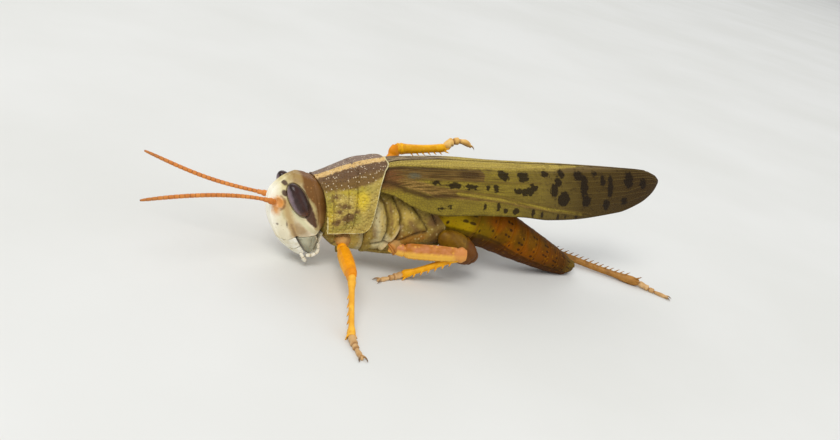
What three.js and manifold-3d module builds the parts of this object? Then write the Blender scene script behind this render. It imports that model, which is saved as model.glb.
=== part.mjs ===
// A still, life-size grasshopper: a spotted bird locust with its left hind leg shed.
// Millimetres, +Z up, standing on z = 0, head towards -X, its left side towards -Y.
import * as THREE from "three";
import { mergeVertices } from "three/addons/utils/BufferGeometryUtils.js";
import Module from "manifold-3d";

const wasm = await Module();
wasm.setup();

// ---------------------------------------------------------------- driving dimensions
// Trunk axes: x runs from the face (-) to the wing tips (+), y from left (-) to right (+), z up.
// The trunk is pitched head down over the floor, so that the end of the abdomen rests on it.
const PITCH = THREE.MathUtils.degToRad(7.63);
const HEIGHT_OF_TRUNK_ORIGIN = 4.22;
const GAP = 0.3;
const WING_THICKNESS = 0.5;
const FOOT_FLAT_SINK = 0.12;

// Every profile is a short list of [position, value] pairs with a smooth curve between them.
const HEAD = {
  front: [[-0.3, -24.4], [0.55, -25.5], [1.66, -26.9], [2.9, -27.95], [4.75, -28.95], [6.25, -29.4],
    [8.3, -29.55], [9.4, -29.3], [10.2, -28.75], [10.9, -28.0], [11.4, -27.25], [11.8, -26.4]],
  back: [[-0.3, -23.5], [1, -22.95], [4, -22.3], [6, -21.6], [10.2, -21.6], [10.8, -23.0], [11.4, -24.4],
    [11.8, -25.6]],
  halfWidth: [[-0.3, 0.9], [1.3, 2.3], [3.2, 2.95], [5, 3.3], [7, 3.25], [9, 2.85], [10.4, 2.2], [11.3, 1.5],
    [11.8, 0.7]],
  widestX: -24.6,
  bottom: -0.3,
  top: 11.8,
};
const EYE = { centre: [-26.35, 2.5, 9.0], radii: [1.2, 1.2, 2.5], lean: 27, tuck: 14, socketGap: 0.22 };
const PRONOTUM = {
  front: -23.6,
  back: -13.2,
  ridge: [[-23.6, 10.95], [-21.5, 11.6], [-19.5, 12.25], [-16.3, 12.95], [-13.2, 13.3]],
  halfWidth: [[-23.6, 3.75], [-20, 4.0], [-16.5, 4.4], [-13.2, 4.3]],
  lowerEdge: 4.45,
  boxiness: [[-23.6, 2.6], [-20, 3.1], [-17, 3.9], [-15, 3.4], [-13.2, 2.8]],
};
const PROTHORAX = {
  front: -22.0,
  back: -16.9,
  floor: [[-22.0, 3.0], [-20, 1.2], [-16.9, 0.5]],
  halfWidth: 3.45,
};
const THORAX = {
  front: -16.6,
  back: -4.2,
  roof: [[-16.6, 11.3], [-10, 11.1], [-4.2, 9.6]],
  floor: [[-16.6, 0.6], [-11, -0.1], [-4.2, 0.5]],
  halfWidth: [[-16.6, 3.9], [-11, 4.2], [-4.2, 3.75]],
};
const ABDOMEN = {
  axis: [[-3.2, 4.9], [3, 2.85], [10, -0.75], [16, -3.85], [19.7, -5.75]],
  halfDepth: [[0, 4.25], [0.28, 3.5], [0.58, 2.85], [0.85, 2.1], [1, 1.5]],
  halfWidth: [[0, 3.7], [0.28, 3.5], [0.58, 3.05], [0.85, 2.3], [1, 1.6]],
  segmentEnds: [0.02, 0.15, 0.28, 0.405, 0.525, 0.64, 0.75, 0.85, 0.925, 0.985],
};
const TEGMEN = {
  base: -13.6,
  tip: 33.8,
  top: [[-13.6, 12.3], [-6.8, 12.55], [1.2, 12.05], [14.9, 11.25], [26, 10.35], [31, 9.7], [33, 9.0],
    [33.8, 8.3]],
  low: [[-13.6, 9.7], [-11, 8.2], [-8.2, 7.1], [-5.2, 6.5], [-2.0, 6.4], [6.7, 5.5], [12, 4.5], [20, 3.85],
    [26, 3.95], [30, 5.0], [32.6, 6.6], [33.8, 7.7]],
  halfWidth: [[-13.6, 3.9], [-9, 4.75], [0, 4.75], [10, 4.2], [20, 2.8], [27, 1.7], [33.8, 0.8]],
  ridgePower: 1.5,
  wallPower: 2.6,
};
const HINDWING = { base: -10.5, tip: 29.5, inset: WING_THICKNESS + GAP, upper: 0.04, lower: 0.74 };
const ANTENNA = {
  root: [-28.75, 1.4, 8.3],
  leftTip: [-46.6, -4.9, 11.1],
  rightTip: [-43.6, 7.6, 12.2],
  sag: 0.5,
};

// Legs: the middles of the coxae are in trunk axes, knees and feet in floor axes.
const LEG = {
  fore: { femur: 11.0, tibia: 8.4 },
  hind: { femur: 24.6, tibia: 21.6 },
};
const HIP = { fore: [-19.8, 3.2, 2.3], middle: [-12.6, 4.35, 1.7], hind: [-6.3, 4.2, 2.6] };
const COXA_RADII = { fore: [1.3, 1.35, 1.7], middle: [1.6, 1.4, 1.6], hind: [1.9, 1.35, 1.8] };
const COXA_LEAN = -14;
// The rounded end of the hip whose leg has been shed.
const STUB = { centre: [-1.9, -4.8, 0.6], radii: [1.9, 1.2, 1.9] };
const COXA_TUCK = 26;

const FINISH = {
  head: ["#d9cf9a", 0.5],
  mouth: ["#e6dfc4", 0.5],
  jaw: ["#a9ad86", 0.4],
  eye: ["#2d1d22", 0.15],
  antenna: ["#d98a2b", 0.5],
  shield: ["#a59a3c", 0.55],
  thorax: ["#9c8f40", 0.55],
  abdomen: ["#b0701c", 0.5],
  wing: ["#8c7f2e", 0.5],
  hindwing: ["#b9a562", 0.4],
  leg: ["#e08f22", 0.5],
};

// ---------------------------------------------------------------- curves and solids
const lerp = THREE.MathUtils.lerp;
const vector = (p) => new THREE.Vector3(...p);
const mirrored = (p, side) => [p[0], side * Math.abs(p[1]), p[2]];

// A smooth curve through [t, value] pairs that doesn't overshoot them.
function profile(keys) {
  const slope = keys.slice(1).map(([t, v], i) => (v - keys[i][1]) / (t - keys[i][0]));
  const tangent = keys.map((_, i) => {
    const [before, after] = [slope[i - 1] ?? slope[i], slope[i] ?? slope[i - 1]];
    return before * after > 0 ? (2 * before * after) / (before + after) : 0;
  });
  return (t) => {
    const last = keys.length - 2;
    const i = Math.min(last, Math.max(0, keys.findIndex(([next]) => next >= t) - 1));
    const span = keys[i + 1][0] - keys[i][0];
    const s = THREE.MathUtils.clamp((t - keys[i][0]) / span, 0, 1);
    const h = s * s * (3 - 2 * s);
    const rise = s * (1 - s) * span * (tangent[i] * (1 - s) - tangent[i + 1] * s);
    return lerp(keys[i][1], keys[i + 1][1], h) + rise;
  };
}

// Sine and cosine raised so that a circle becomes a squarer or a sharper oval.
const power = (value, exponent) => Math.sign(value) * Math.abs(value) ** (2 / exponent);

// A closed solid through rings of equal point counts, with a fan over each end.
function loft(rings) {
  const count = rings[0].length;
  const points = rings.flat();
  const centre = (ring) => ring.reduce((sum, p) => sum.add(p), new THREE.Vector3()).divideScalar(count);
  points.push(centre(rings[0]), centre(rings.at(-1)));
  const [start, end, lastRing] = [points.length - 2, points.length - 1, (rings.length - 1) * count];
  const index = [];
  for (let i = 0; i < count; i += 1) {
    const next = (i + 1) % count;
    for (let r = 0; r < rings.length - 1; r += 1) {
      const [a, b, c, d] = [r * count + i, r * count + next, (r + 1) * count + next, (r + 1) * count + i];
      index.push(a, b, c, a, c, d);
    }
    index.push(start, next, i, end, lastRing + i, lastRing + next);
  }
  return closed(points, index);
}

// Turns points and triangles into a solid whose faces point out.
function closed(points, index) {
  const volume = index.reduce((sum, _, i) => {
    if (i % 3) return sum;
    const [a, b, c] = [points[index[i]], points[index[i + 1]], points[index[i + 2]]];
    return sum + a.dot(b.clone().cross(c));
  }, 0);
  const triVerts = Uint32Array.from(volume > 0 ? index : index.toReversed());
  const vertProperties = Float32Array.from(points.flatMap((p) => p.toArray()));
  return new wasm.Manifold(new wasm.Mesh({ numProp: 3, vertProperties, triVerts }));
}

function solidOf(geometry) {
  const bare = geometry.clone();
  bare.deleteAttribute("normal");
  bare.deleteAttribute("uv");
  const merged = mergeVertices(bare, 1e-5);
  return new wasm.Manifold(new wasm.Mesh({
    numProp: 3,
    vertProperties: new Float32Array(merged.attributes.position.array),
    triVerts: new Uint32Array(merged.index.array),
  }));
}

function geometryOf(solid) {
  const mesh = solid.getMesh();
  const geometry = new THREE.BufferGeometry();
  geometry.setAttribute("position", new THREE.BufferAttribute(new Float32Array(mesh.vertProperties), 3));
  geometry.setIndex(new THREE.BufferAttribute(new Uint32Array(mesh.triVerts), 1));
  geometry.computeVertexNormals();
  return geometry;
}

// An oval ball; lean tips its top towards the face and tuck tips it towards the middle of the head.
function ball(centre, radii, grow = 0, lean = 0, tuck = 0, around = 10, rows = 6) {
  const turn = new THREE.Euler(THREE.MathUtils.degToRad(tuck), THREE.MathUtils.degToRad(-lean), 0);
  const rings = [];
  for (let row = 1; row < rows; row += 1) {
    const polar = (Math.PI * row) / rows;
    rings.push(Array.from({ length: around }, (_, i) => {
      const a = (2 * Math.PI * i) / around;
      const flat = Math.sin(polar);
      const unit = new THREE.Vector3(Math.cos(a) * flat, Math.sin(a) * flat, Math.cos(polar));
      return unit.multiply(vector(radii.map((r) => r + grow))).applyEuler(turn).add(vector(centre));
    }));
  }
  return loft(rings);
}

// A slab with a side-view outline of [x, z] points, between two y values.
function sideSlab(outline, fromY = -20, toY = 20) {
  const shape = new THREE.Shape(outline.map(([x, z]) => new THREE.Vector2(x, z)));
  const slab = new THREE.ExtrudeGeometry(shape, { depth: toY - fromY, bevelEnabled: false });
  slab.rotateX(Math.PI / 2);
  slab.translate(0, toY, 0);
  return solidOf(slab);
}

const without = (solid, cutters) => cutters.reduce((left, cutter) => left.subtract(cutter), solid);
const together = (solid, others) => others.reduce((sum, other) => sum.add(other), solid);

// A solid along a path: half depth in the plane of "up", half thickness across it.
function limb(path, halfDepth, halfThickness, up, around, steps) {
  const curve = path.length > 2 ? new THREE.CatmullRomCurve3(path) : new THREE.LineCurve3(...path);
  const depth = profile(halfDepth);
  const thickness = profile(halfThickness);
  const rings = [];
  for (let step = 0; step <= steps; step += 1) {
    const t = step / steps;
    const along = curve.getTangentAt(t);
    const across = new THREE.Vector3().crossVectors(along, up).normalize();
    const lift = new THREE.Vector3().crossVectors(across, along);
    const middle = curve.getPointAt(t);
    rings.push(Array.from({ length: around }, (_, i) => {
      const a = (2 * Math.PI * (i + 0.5)) / around;
      return middle.clone()
        .addScaledVector(lift, Math.cos(a) * depth(t))
        .addScaledVector(across, Math.sin(a) * thickness(t));
    }));
  }
  return loft(rings);
}

// ---------------------------------------------------------------- scene graph
const grasshopper = new THREE.Group();
const trunk = new THREE.Group();
trunk.rotation.y = -PITCH;
trunk.position.set(-HEIGHT_OF_TRUNK_ORIGIN * Math.sin(PITCH), 0, HEIGHT_OF_TRUNK_ORIGIN * Math.cos(PITCH));
grasshopper.add(trunk);
trunk.updateMatrixWorld(true);
const toFloor = (p) => vector(p).applyMatrix4(trunk.matrixWorld);

const materials = Object.fromEntries(Object.entries(FINISH).map(([name, [color, roughness]]) => [
  name,
  new THREE.MeshStandardMaterial({ color, roughness, metalness: 0, side: THREE.FrontSide }),
]));

function addMesh(parent, name, solid, finish) {
  const mesh = new THREE.Mesh(geometryOf(solid), materials[finish]);
  mesh.name = name;
  parent.add(mesh);
}

// All that is above the floor, in floor axes or in trunk axes.
const ABOVE = new THREE.BoxGeometry(200, 200, 100).translate(0, 0, 50);
const aboveFloor = solidOf(ABOVE);
const aboveFloorInTrunk = solidOf(ABOVE.clone().applyMatrix4(trunk.matrixWorld.clone().invert()));
const SIDES = [["left", -1], ["right", 1]];
const SIDE_OF = Object.fromEntries(SIDES);

// ---------------------------------------------------------------- head and mouth
function headBlank() {
  const [front, back, halfWidth] = [profile(HEAD.front), profile(HEAD.back), profile(HEAD.halfWidth)];
  const levels = [0, 0.09, 0.2, 0.31, 0.43, 0.55, 0.67, 0.78, 0.87, 0.94, 0.98, 1];
  return loft(levels.map((level) => {
    const z = lerp(HEAD.bottom, HEAD.top, level);
    const middle = Math.min(HEAD.widestX, lerp(front(z), back(z), 0.6));
    return Array.from({ length: 20 }, (_, i) => {
      const a = (2 * Math.PI * i) / 20;
      const faceward = Math.cos(a) > 0;
      const reach = faceward ? middle - front(z) : back(z) - middle;
      const roundness = faceward ? 1.75 : 3;
      return new THREE.Vector3(
        middle - reach * power(Math.cos(a), roundness),
        halfWidth(z) * power(Math.sin(a), roundness),
        z,
      );
    });
  }));
}

// Side-view outlines that part the mouth from the head, each a thin gap away from the next.
const MOUTH_CUTS = {
  head: [[-35, 3.05], [-27.2, 3.05], [-26.2, 3.95], [-23.4, 4.1], [-22.5, 5.6], [-22.9, 8], [-23.3, 10],
    [-23.85, 11.4], [-23.95, 15], [-35, 15]],
  clypeus: [[-35, 2.8], [-27.1, 2.8], [-26.2, 3.6], [-25.1, 2.3], [-25.9, 1.75], [-35, 1.75]],
  labrum: [[-35, 1.5], [-25.85, 1.5], [-24.95, 2.1], [-23.95, 0.8], [-23.7, -1], [-35, -1]],
  mandible: [[-25.75, 3.68], [-23.5, 3.75], [-23.35, 0.6], [-23.6, 0.72]],
  labium: [[-23.2, 3.8], [-22.4, 3.8], [-22.4, -1], [-23.3, -1], [-23.05, 0.5]],
};

function addHead() {
  const blank = headBlank();
  const eyeBall = (side, grow, rows) => (
    ball(mirrored(EYE.centre, side), EYE.radii, grow, EYE.lean, side * EYE.tuck, 14, rows)
  );
  const sockets = SIDES.map(([, side]) => eyeBall(side, EYE.socketGap, 7));
  addMesh(trunk, "head", without(blank.intersect(sideSlab(MOUTH_CUTS.head)), sockets), "head");
  addMesh(trunk, "clypeus", blank.intersect(sideSlab(MOUTH_CUTS.clypeus)), "mouth");
  addMesh(trunk, "labrum", blank.intersect(sideSlab(MOUTH_CUTS.labrum)), "mouth");
  addMesh(trunk, "labium", blank.intersect(sideSlab(MOUTH_CUTS.labium)), "mouth");
  for (const [name, side] of SIDES) {
    const half = side < 0 ? [-20, -GAP / 2] : [GAP / 2, 20];
    addMesh(trunk, `mandible_${name}`, blank.intersect(sideSlab(MOUTH_CUTS.mandible, ...half)), "jaw");
    addMesh(trunk, `eye_${name}`, eyeBall(side, 0, 8), "eye");
    addPalps(name, side);
  }
}

// The feelers of the mouth hang behind the jaws and bend forwards just above the floor.
function addPalps(name, side) {
  const up = new THREE.Vector3(0, 1, 0);
  const thick = [[0, 0.3], [1, 0.26]];
  const jaw = [[-22.8, 2.9, 1.5], [-23.5, 2.85, 1.0], [-24.3, 2.7, 0.75], [-24.75, 2.6, 0.35],
    [-24.7, 2.5, -0.35]];
  const lip = [[-22.0, 1.7, 1.3], [-22.1, 1.9, 0.5], [-22.6, 1.8, -0.3]];
  const palp = (path, steps) => limb(path.map((p) => vector(mirrored(p, side))), thick, thick, up, 6, steps);
  addMesh(trunk, `maxillary_palp_${name}`, palp(jaw, 5), "mouth");
  addMesh(trunk, `labial_palp_${name}`, palp(lip, 4), "mouth");
}

function addAntennae() {
  const width = [[0, 0.42], [0.05, 0.42], [0.08, 0.3], [0.8, 0.31], [1, 0.25]];
  const up = new THREE.Vector3(0, 0, 1);
  for (const [name, side] of SIDES) {
    const root = vector(mirrored(ANTENNA.root, side)).add(new THREE.Vector3(-GAP, 0, 0));
    const tip = vector(side < 0 ? ANTENNA.leftTip : ANTENNA.rightTip);
    const bow = root.clone().lerp(tip, 0.5).add(new THREE.Vector3(0, 0, ANTENNA.sag));
    addMesh(trunk, `antenna_${name}`, limb([root, bow, tip], width, width, up, 6, 10), "antenna");
  }
}

// ---------------------------------------------------------------- shield and thorax
const SHIELD_REAR = [[-17.9, 4.4], [-17.0, 4.75], [-16.4, 5.6], [-16.05, 8.0], [-15.7, 10.8], [-14.8, 12.5],
  [-13.6, 13.3], [-13.4, 15]];
const behindShield = SHIELD_REAR.map(([x, z]) => [x + GAP, z]);

function addPronotum() {
  const [ridge, halfWidth, boxiness] = [PRONOTUM.ridge, PRONOTUM.halfWidth, PRONOTUM.boxiness].map(profile);
  const low = PRONOTUM.lowerEdge;
  const rings = Array.from({ length: 9 }, (_, step) => {
    const x = lerp(PRONOTUM.front, PRONOTUM.back, step / 8);
    const [top, wide] = [ridge(x), halfWidth(x)];
    const widestZ = lerp(low, top, 0.3);
    const half = Array.from({ length: 10 }, (_, i) => {
      const a = (Math.PI / 2) * (i / 9);
      const across = power(Math.sin(a), boxiness(x));
      const upward = power(Math.cos(a), boxiness(x));
      return [wide * across, widestZ + (top - widestZ) * upward];
    });
    half.push([wide * 0.985, low], [wide * 0.5, low]);
    const otherHalf = half.slice(1).reverse().map(([y, z]) => [-y, z]);
    return [...half, [0, low], ...otherHalf].map(([y, z]) => new THREE.Vector3(x, y, z));
  });
  const frontEdge = [[-22.2, 4], [-22.55, 7], [-23.0, 10], [-23.5, 11.4], [-23.6, 15]];
  const side = [...frontEdge, ...SHIELD_REAR.toReversed()];
  addMesh(trunk, "pronotum", loft(rings).intersect(sideSlab(side)), "shield");
}

// An oval trunk section: sharper above, where the wings close over it, and fuller below.
function trunkRing(x, floor, roof, halfWidth, around, upper = 1.5, lower = 2.4, waist = 0.34) {
  const middle = lerp(floor, roof, waist);
  return Array.from({ length: around }, (_, i) => {
    const a = (2 * Math.PI * i) / around;
    const above = Math.cos(a) > 0;
    const roundness = above ? upper : lower;
    const reach = above ? roof - middle : middle - floor;
    const y = halfWidth * power(Math.sin(a), roundness);
    return new THREE.Vector3(x, y, middle + reach * power(Math.cos(a), roundness));
  });
}

const coxaBall = (pair, side, grow) => {
  const hip = ball(mirrored(HIP[pair], side), COXA_RADII[pair], grow, COXA_LEAN, side * COXA_TUCK);
  const shed = pair === "hind" && side < 0;
  return shed ? wasm.Manifold.hull([hip, ball(STUB.centre, STUB.radii, grow)]) : hip;
};

function addThorax() {
  const floorOfNeck = profile(PROTHORAX.floor);
  const roofOfNeck = PRONOTUM.lowerEdge - GAP;
  const neckRings = Array.from({ length: 6 }, (_, step) => {
    const x = lerp(PROTHORAX.front, PROTHORAX.back, step / 5);
    const halfWidth = PROTHORAX.halfWidth * lerp(0.8, 1, step / 5);
    return trunkRing(x, floorOfNeck(x), roofOfNeck, halfWidth, 18, 6, 2.2, 0.6);
  });
  const [roof, floor, halfWidth] = [THORAX.roof, THORAX.floor, THORAX.halfWidth].map(profile);
  const rings = Array.from({ length: 7 }, (_, step) => {
    const x = lerp(THORAX.front, THORAX.back, step / 6);
    return trunkRing(x, floor(x), roof(x), halfWidth(x), 18);
  });
  const [edgeX, edgeZ] = SHIELD_REAR[0];
  const underShield = [[-30, edgeZ - GAP], [edgeX + GAP, edgeZ - GAP]];
  const shieldSide = sideSlab([...underShield, ...behindShield, [-30, 15]]);
  const coxae = (pairs) => pairs.flatMap((pair) => SIDES.map(([, side]) => coxaBall(pair, side, GAP)));
  addMesh(trunk, "prothorax", without(loft(neckRings), coxae(["fore"])), "thorax");
  addMesh(trunk, "thorax", without(loft(rings), [shieldSide, ...coxae(["middle", "hind"])]), "thorax");
}

// ---------------------------------------------------------------- abdomen
function abdomenRing(t, shrink = 1) {
  const axis = new THREE.SplineCurve(ABDOMEN.axis.map(([x, z]) => new THREE.Vector2(x, z)));
  const [middle, along] = [axis.getPointAt(t), axis.getTangentAt(t)];
  const [depth, width] = [ABDOMEN.halfDepth, ABDOMEN.halfWidth].map((keys) => profile(keys)(t) * shrink);
  return Array.from({ length: 16 }, (_, i) => {
    const a = (2 * Math.PI * i) / 16;
    const high = depth * power(Math.cos(a), Math.cos(a) > 0 ? 1.8 : 2.1);
    return new THREE.Vector3(middle.x - along.y * high, width * Math.sin(a), middle.y + along.x * high);
  });
}

function addAbdomen() {
  const ends = ABDOMEN.segmentEnds;
  const seam = 0.006;
  for (let segment = 0; segment < ends.length - 1; segment += 1) {
    const [from, to] = [ends[segment] + seam, ends[segment + 1] - seam];
    const rings = [abdomenRing(from, 0.965), abdomenRing(lerp(from, to, 0.35)), abdomenRing(to, 1.005)];
    addMesh(trunk, `abdomen_${segment + 1}`, loft(rings).intersect(aboveFloorInTrunk), "abdomen");
  }
  const tip = ends.at(-1) + seam;
  const up = new THREE.Vector3(0, 0, 1);
  const tipRings = [abdomenRing(tip, 0.86), abdomenRing(Math.min(1, tip + 0.005), 0.84)];
  const endRing = abdomenRing(1, 0.8).map((p) => p.add(new THREE.Vector3(0.7, 0, -0.1)));
  const lastRing = abdomenRing(1, 0.42).map((p) => p.add(new THREE.Vector3(1.5, 0, -0.15)));
  const cone = loft([...tipRings, endRing, lastRing]);
  addMesh(trunk, "abdomen_tip", cone.intersect(aboveFloorInTrunk), "abdomen");
  for (const [name, side] of SIDES) {
    const path = [[19.6, 1.95, -4.3], [20.4, 2.0, -4.7], [21.3, 1.75, -5.2]];
    const taper = [[0, 0.36], [1, 0.25]];
    const cercus = limb(path.map((p) => vector(mirrored(p, side))), taper, taper, up, 6, 3);
    addMesh(trunk, `cercus_${name}`, cercus, "abdomen");
  }
}

// ---------------------------------------------------------------- wings
// A point of a folded wing: along from base to tip, down from the back ridge to the lower edge.
function wingPoint(along, down, side, inset, base, tip) {
  const x = lerp(base, tip, along);
  const [top, low, wide] = [TEGMEN.top, TEGMEN.low, TEGMEN.halfWidth].map((keys) => profile(keys)(x));
  const a = (Math.PI / 2) * down;
  const high = (top - inset - low) * power(Math.cos(a), TEGMEN.wallPower);
  const out = GAP / 2 + Math.max(0.1, wide - inset) * power(Math.sin(a), TEGMEN.ridgePower);
  return new THREE.Vector3(x, side * out, low + high);
}

function wing(side, inset, base, tip, steps, rows, fromDown, toDown) {
  const rings = Array.from({ length: steps + 1 }, (_, step) => {
    const along = 1 - (1 - step / steps) ** 1.25;
    const row = (depth, i) => (
      wingPoint(along, lerp(fromDown, toDown, i / rows), side, depth, base, tip)
    );
    const outer = Array.from({ length: rows + 1 }, (_, i) => row(inset, i));
    const inner = Array.from({ length: rows + 1 }, (_, i) => row(inset + WING_THICKNESS, i));
    return [...outer, ...inner.reverse()];
  });
  return loft(rings);
}

function addWings() {
  const shieldSide = sideSlab([[-30, 4], ...behindShield, [-30, 15]]);
  for (const [name, side] of SIDES) {
    const tegmen = wing(side, 0, TEGMEN.base - 1.2, TEGMEN.tip, 15, 6, 0, 1);
    addMesh(trunk, `tegmen_${name}`, tegmen.subtract(shieldSide), "wing");
    const { inset, base, tip, upper, lower } = HINDWING;
    const fan = wing(side, inset, base, tip, 9, 4, upper, lower);
    addMesh(trunk, `hindwing_${name}`, fan, "hindwing");
  }
}

// ---------------------------------------------------------------- legs
// The knee between a hip and an ankle, for two lengths, bent towards the direction given.
function kneeBetween(hip, ankle, femur, tibia, towards) {
  const line = ankle.clone().sub(hip);
  const reach = line.length();
  const along = (reach ** 2 + femur ** 2 - tibia ** 2) / (2 * reach);
  const aside = Math.sqrt(Math.max(0, femur ** 2 - along ** 2));
  const unit = line.normalize();
  const bend = vector(towards).addScaledVector(unit, -vector(towards).dot(unit)).normalize();
  return hip.clone().addScaledVector(unit, along).addScaledVector(bend, aside);
}

const inward = (from, to, distance) => from.clone().add(to.clone().sub(from).setLength(distance));

const FEMUR = {
  fore: [[0, 0.6], [0.12, 0.82], [0.5, 0.86], [0.85, 0.74], [0.94, 0.84], [1, 0.6]],
  middle: [[0, 0.65], [0.12, 0.98], [0.5, 1.02], [0.85, 0.82], [0.94, 0.95], [1, 0.65]],
  hind: [[0, 0.95], [0.08, 1.9], [0.25, 2.5], [0.5, 1.95], [0.75, 1.15], [0.88, 0.85], [0.95, 1.15],
    [1, 0.75]],
};
const FEMUR_THICKNESS = {
  fore: [[0, 0.55], [0.12, 0.72], [0.5, 0.75], [0.85, 0.66], [1, 0.5]],
  middle: [[0, 0.6], [0.12, 0.82], [0.5, 0.85], [0.85, 0.7], [1, 0.55]],
  hind: [[0, 0.75], [0.1, 1.15], [0.3, 1.3], [0.6, 0.95], [0.88, 0.65], [0.95, 0.85], [1, 0.6]],
};
const TIBIA = {
  fore: [[0, 0.45], [0.08, 0.62], [0.25, 0.5], [0.8, 0.46], [0.95, 0.62], [1, 0.5]],
  middle: [[0, 0.45], [0.08, 0.62], [0.25, 0.5], [0.8, 0.46], [0.95, 0.62], [1, 0.5]],
  hind: [[0, 0.6], [0.05, 0.85], [0.15, 0.6], [0.8, 0.55], [0.95, 0.75], [1, 0.55]],
};
const SPINE = { rise: 1.0, sweep: 0.7, splay: 0.5, base: 0.32, point: 0.1, perRow: 5, from: 0.24, to: 0.93 };
const FOOT = {
  halfDepth: [[0, 0.42], [0.16, 0.52], [0.36, 0.36], [0.5, 0.42], [0.66, 0.32], [0.9, 0.34], [1, 0.3]],
  halfThickness: [[0, 0.4], [0.16, 0.48], [0.36, 0.34], [0.5, 0.4], [0.66, 0.3], [0.9, 0.36], [1, 0.3]],
};
const HIP_REACH = 1.2;
const ANKLE_HEIGHT = 0.85;
const TOE_HEIGHT = 0.42 - FOOT_FLAT_SINK;

// A foot of three pads and two claws along a path of four points.
function foot(path, up, scale) {
  const [start, , , end] = path;
  const pads = limb(path, FOOT.halfDepth, FOOT.halfThickness, up, 6, 7);
  const forward = end.clone().sub(start).normalize();
  const across = new THREE.Vector3().crossVectors(forward, up).normalize();
  const claws = [-1, 1].map((side) => {
    const root = end.clone().addScaledVector(forward, -0.3);
    const reach = (ahead, aside, above) => root.clone()
      .addScaledVector(forward, ahead * scale)
      .addScaledVector(across, side * aside)
      .addScaledVector(up, above);
    const taper = [[0, 0.26], [1, 0.25]];
    return limb([root, reach(0.6, 0.3, 0.12), reach(1.15, 0.45, -0.05)], taper, taper, up, 4, 2);
  });
  return together(pads, claws);
}

// Two rows of spines along the back edge of a tibia, leaning towards the foot.
function spines(knee, ankle, up) {
  const line = ankle.clone().sub(knee);
  const across = new THREE.Vector3().crossVectors(line, up).normalize();
  const along = line.clone().normalize();
  const taper = [[0, SPINE.base], [1, SPINE.point]];
  return [-1, 1].flatMap((row) => Array.from({ length: SPINE.perRow }, (_, i) => {
    const t = lerp(SPINE.from, SPINE.to, (i + (row > 0 ? 0.5 : 0)) / SPINE.perRow);
    const root = knee.clone()
      .addScaledVector(line, t)
      .addScaledVector(up, 0.35)
      .addScaledVector(across, row * 0.2);
    const tip = root.clone()
      .addScaledVector(up, SPINE.rise)
      .addScaledVector(across, row * SPINE.splay)
      .addScaledVector(along, SPINE.sweep);
    return limb([root, tip], taper, taper, along, 4, 1);
  }));
}

function addLeg(pair, name, { hip, knee, kneeTop = knee, ankle, toes, ridge }, footScale) {
  const bend = vector(ridge);
  const along = ankle.clone().sub(kneeTop).normalize();
  const lift = bend.clone().addScaledVector(along, -bend.dot(along)).normalize();
  const label = `${pair}_${name}`;
  const thigh = [inward(hip, knee, HIP_REACH), inward(knee, hip, GAP * 0.6)];
  const coxae = Object.keys(HIP).map((near) => (
    coxaBall(near, SIDE_OF[name], GAP).transform(trunk.matrixWorld.elements)
  ));
  const femur = limb(thigh, FEMUR[pair], FEMUR_THICKNESS[pair], bend, 8, pair === "hind" ? 11 : 8);
  addMesh(grasshopper, `${label}_femur`, without(femur, coxae), "leg");
  const shin = [inward(kneeTop, ankle, GAP * 2.4), inward(ankle, kneeTop, GAP * 0.5)];
  const tibia = limb(shin, TIBIA[pair], TIBIA[pair].map(([t, w]) => [t, w * 0.9]), lift, 6, 7);
  const comb = pair === "hind" ? spines(kneeTop, ankle, lift) : [];
  addMesh(grasshopper, `${label}_tibia`, together(tibia, comb), "leg");
  const up = new THREE.Vector3(0, 0, 1);
  const path = [inward(ankle, toes.at(-1), GAP * 0.6), ...toes];
  addMesh(grasshopper, `${label}_tarsus`, foot(path, up, footScale).intersect(aboveFloor), "leg");
}

function addLegs() {
  for (const pair of Object.keys(HIP)) {
    for (const [name, side] of SIDES) {
      addMesh(trunk, `${pair}_${name}_coxa`, coxaBall(pair, side, 0), "leg");
    }
  }
  const hip = (pair, name) => toFloor(mirrored(HIP[pair], SIDE_OF[name]));
  const onFloor = (x, y) => vector([x, y, TOE_HEIGHT]);
  const ankleAt = (x, y) => vector([x, y, ANKLE_HEIGHT]);
  const bent = (pair, leg, towards) => ({
    ...leg,
    knee: kneeBetween(leg.hip, leg.ankle, LEG[pair].femur, LEG[pair].tibia, towards),
  });

  addLeg("fore", "left", bent("fore", {
    hip: hip("fore", "left"),
    ankle: ankleAt(-25.4, -21.0),
    toes: [onFloor(-25.6, -22.3), onFloor(-25.7, -23.6), onFloor(-25.7, -25.1)],
    ridge: [0, 0, 1],
  }, [0, 0, 1]), 1);

  addLeg("fore", "right", bent("fore", {
    hip: hip("fore", "right"),
    ankle: ankleAt(-18.5, 15.6),
    toes: [onFloor(-18.9, 17.0), onFloor(-19.4, 18.2), onFloor(-20.0, 19.7)],
    ridge: [0, 0, 1],
  }, [0.2, 0, 1]), 1);

  addLeg("middle", "left", {
    hip: hip("middle", "left"),
    knee: vector([-3.6, -7.7, 5.0]),
    kneeTop: vector([-3.0, -6.4, 3.65]),
    ankle: ankleAt(-10.9, -4.5),
    toes: [onFloor(-12.3, -4.8), onFloor(-13.5, -5.2), onFloor(-15.0, -5.7)],
    ridge: [0, 0, 1],
  }, 1);

  addLeg("middle", "right", {
    hip: hip("middle", "right"),
    knee: toFloor([-8.4, 9.2, 10.5]),
    ankle: toFloor([0.6, 9.2, 10.9]),
    toes: [[1.6, 9.2, 11.7], [3.4, 9.2, 11.6], [5.2, 9.2, 10.4]].map(toFloor),
    ridge: [-0.4, 0, 1],
  }, 1);

  addLeg("hind", "right", bent("hind", {
    hip: hip("hind", "right"),
    ankle: ankleAt(32.0, -3.9),
    toes: [onFloor(33.2, -5.4), onFloor(34.1, -6.5), onFloor(35.2, -7.9)],
    ridge: [0, 0.45, 0.9],
  }, [0, 1, -0.12]), 1.1);
}

addHead();
addAntennae();
addPronotum();
addThorax();
addAbdomen();
addWings();
addLegs();

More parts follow.
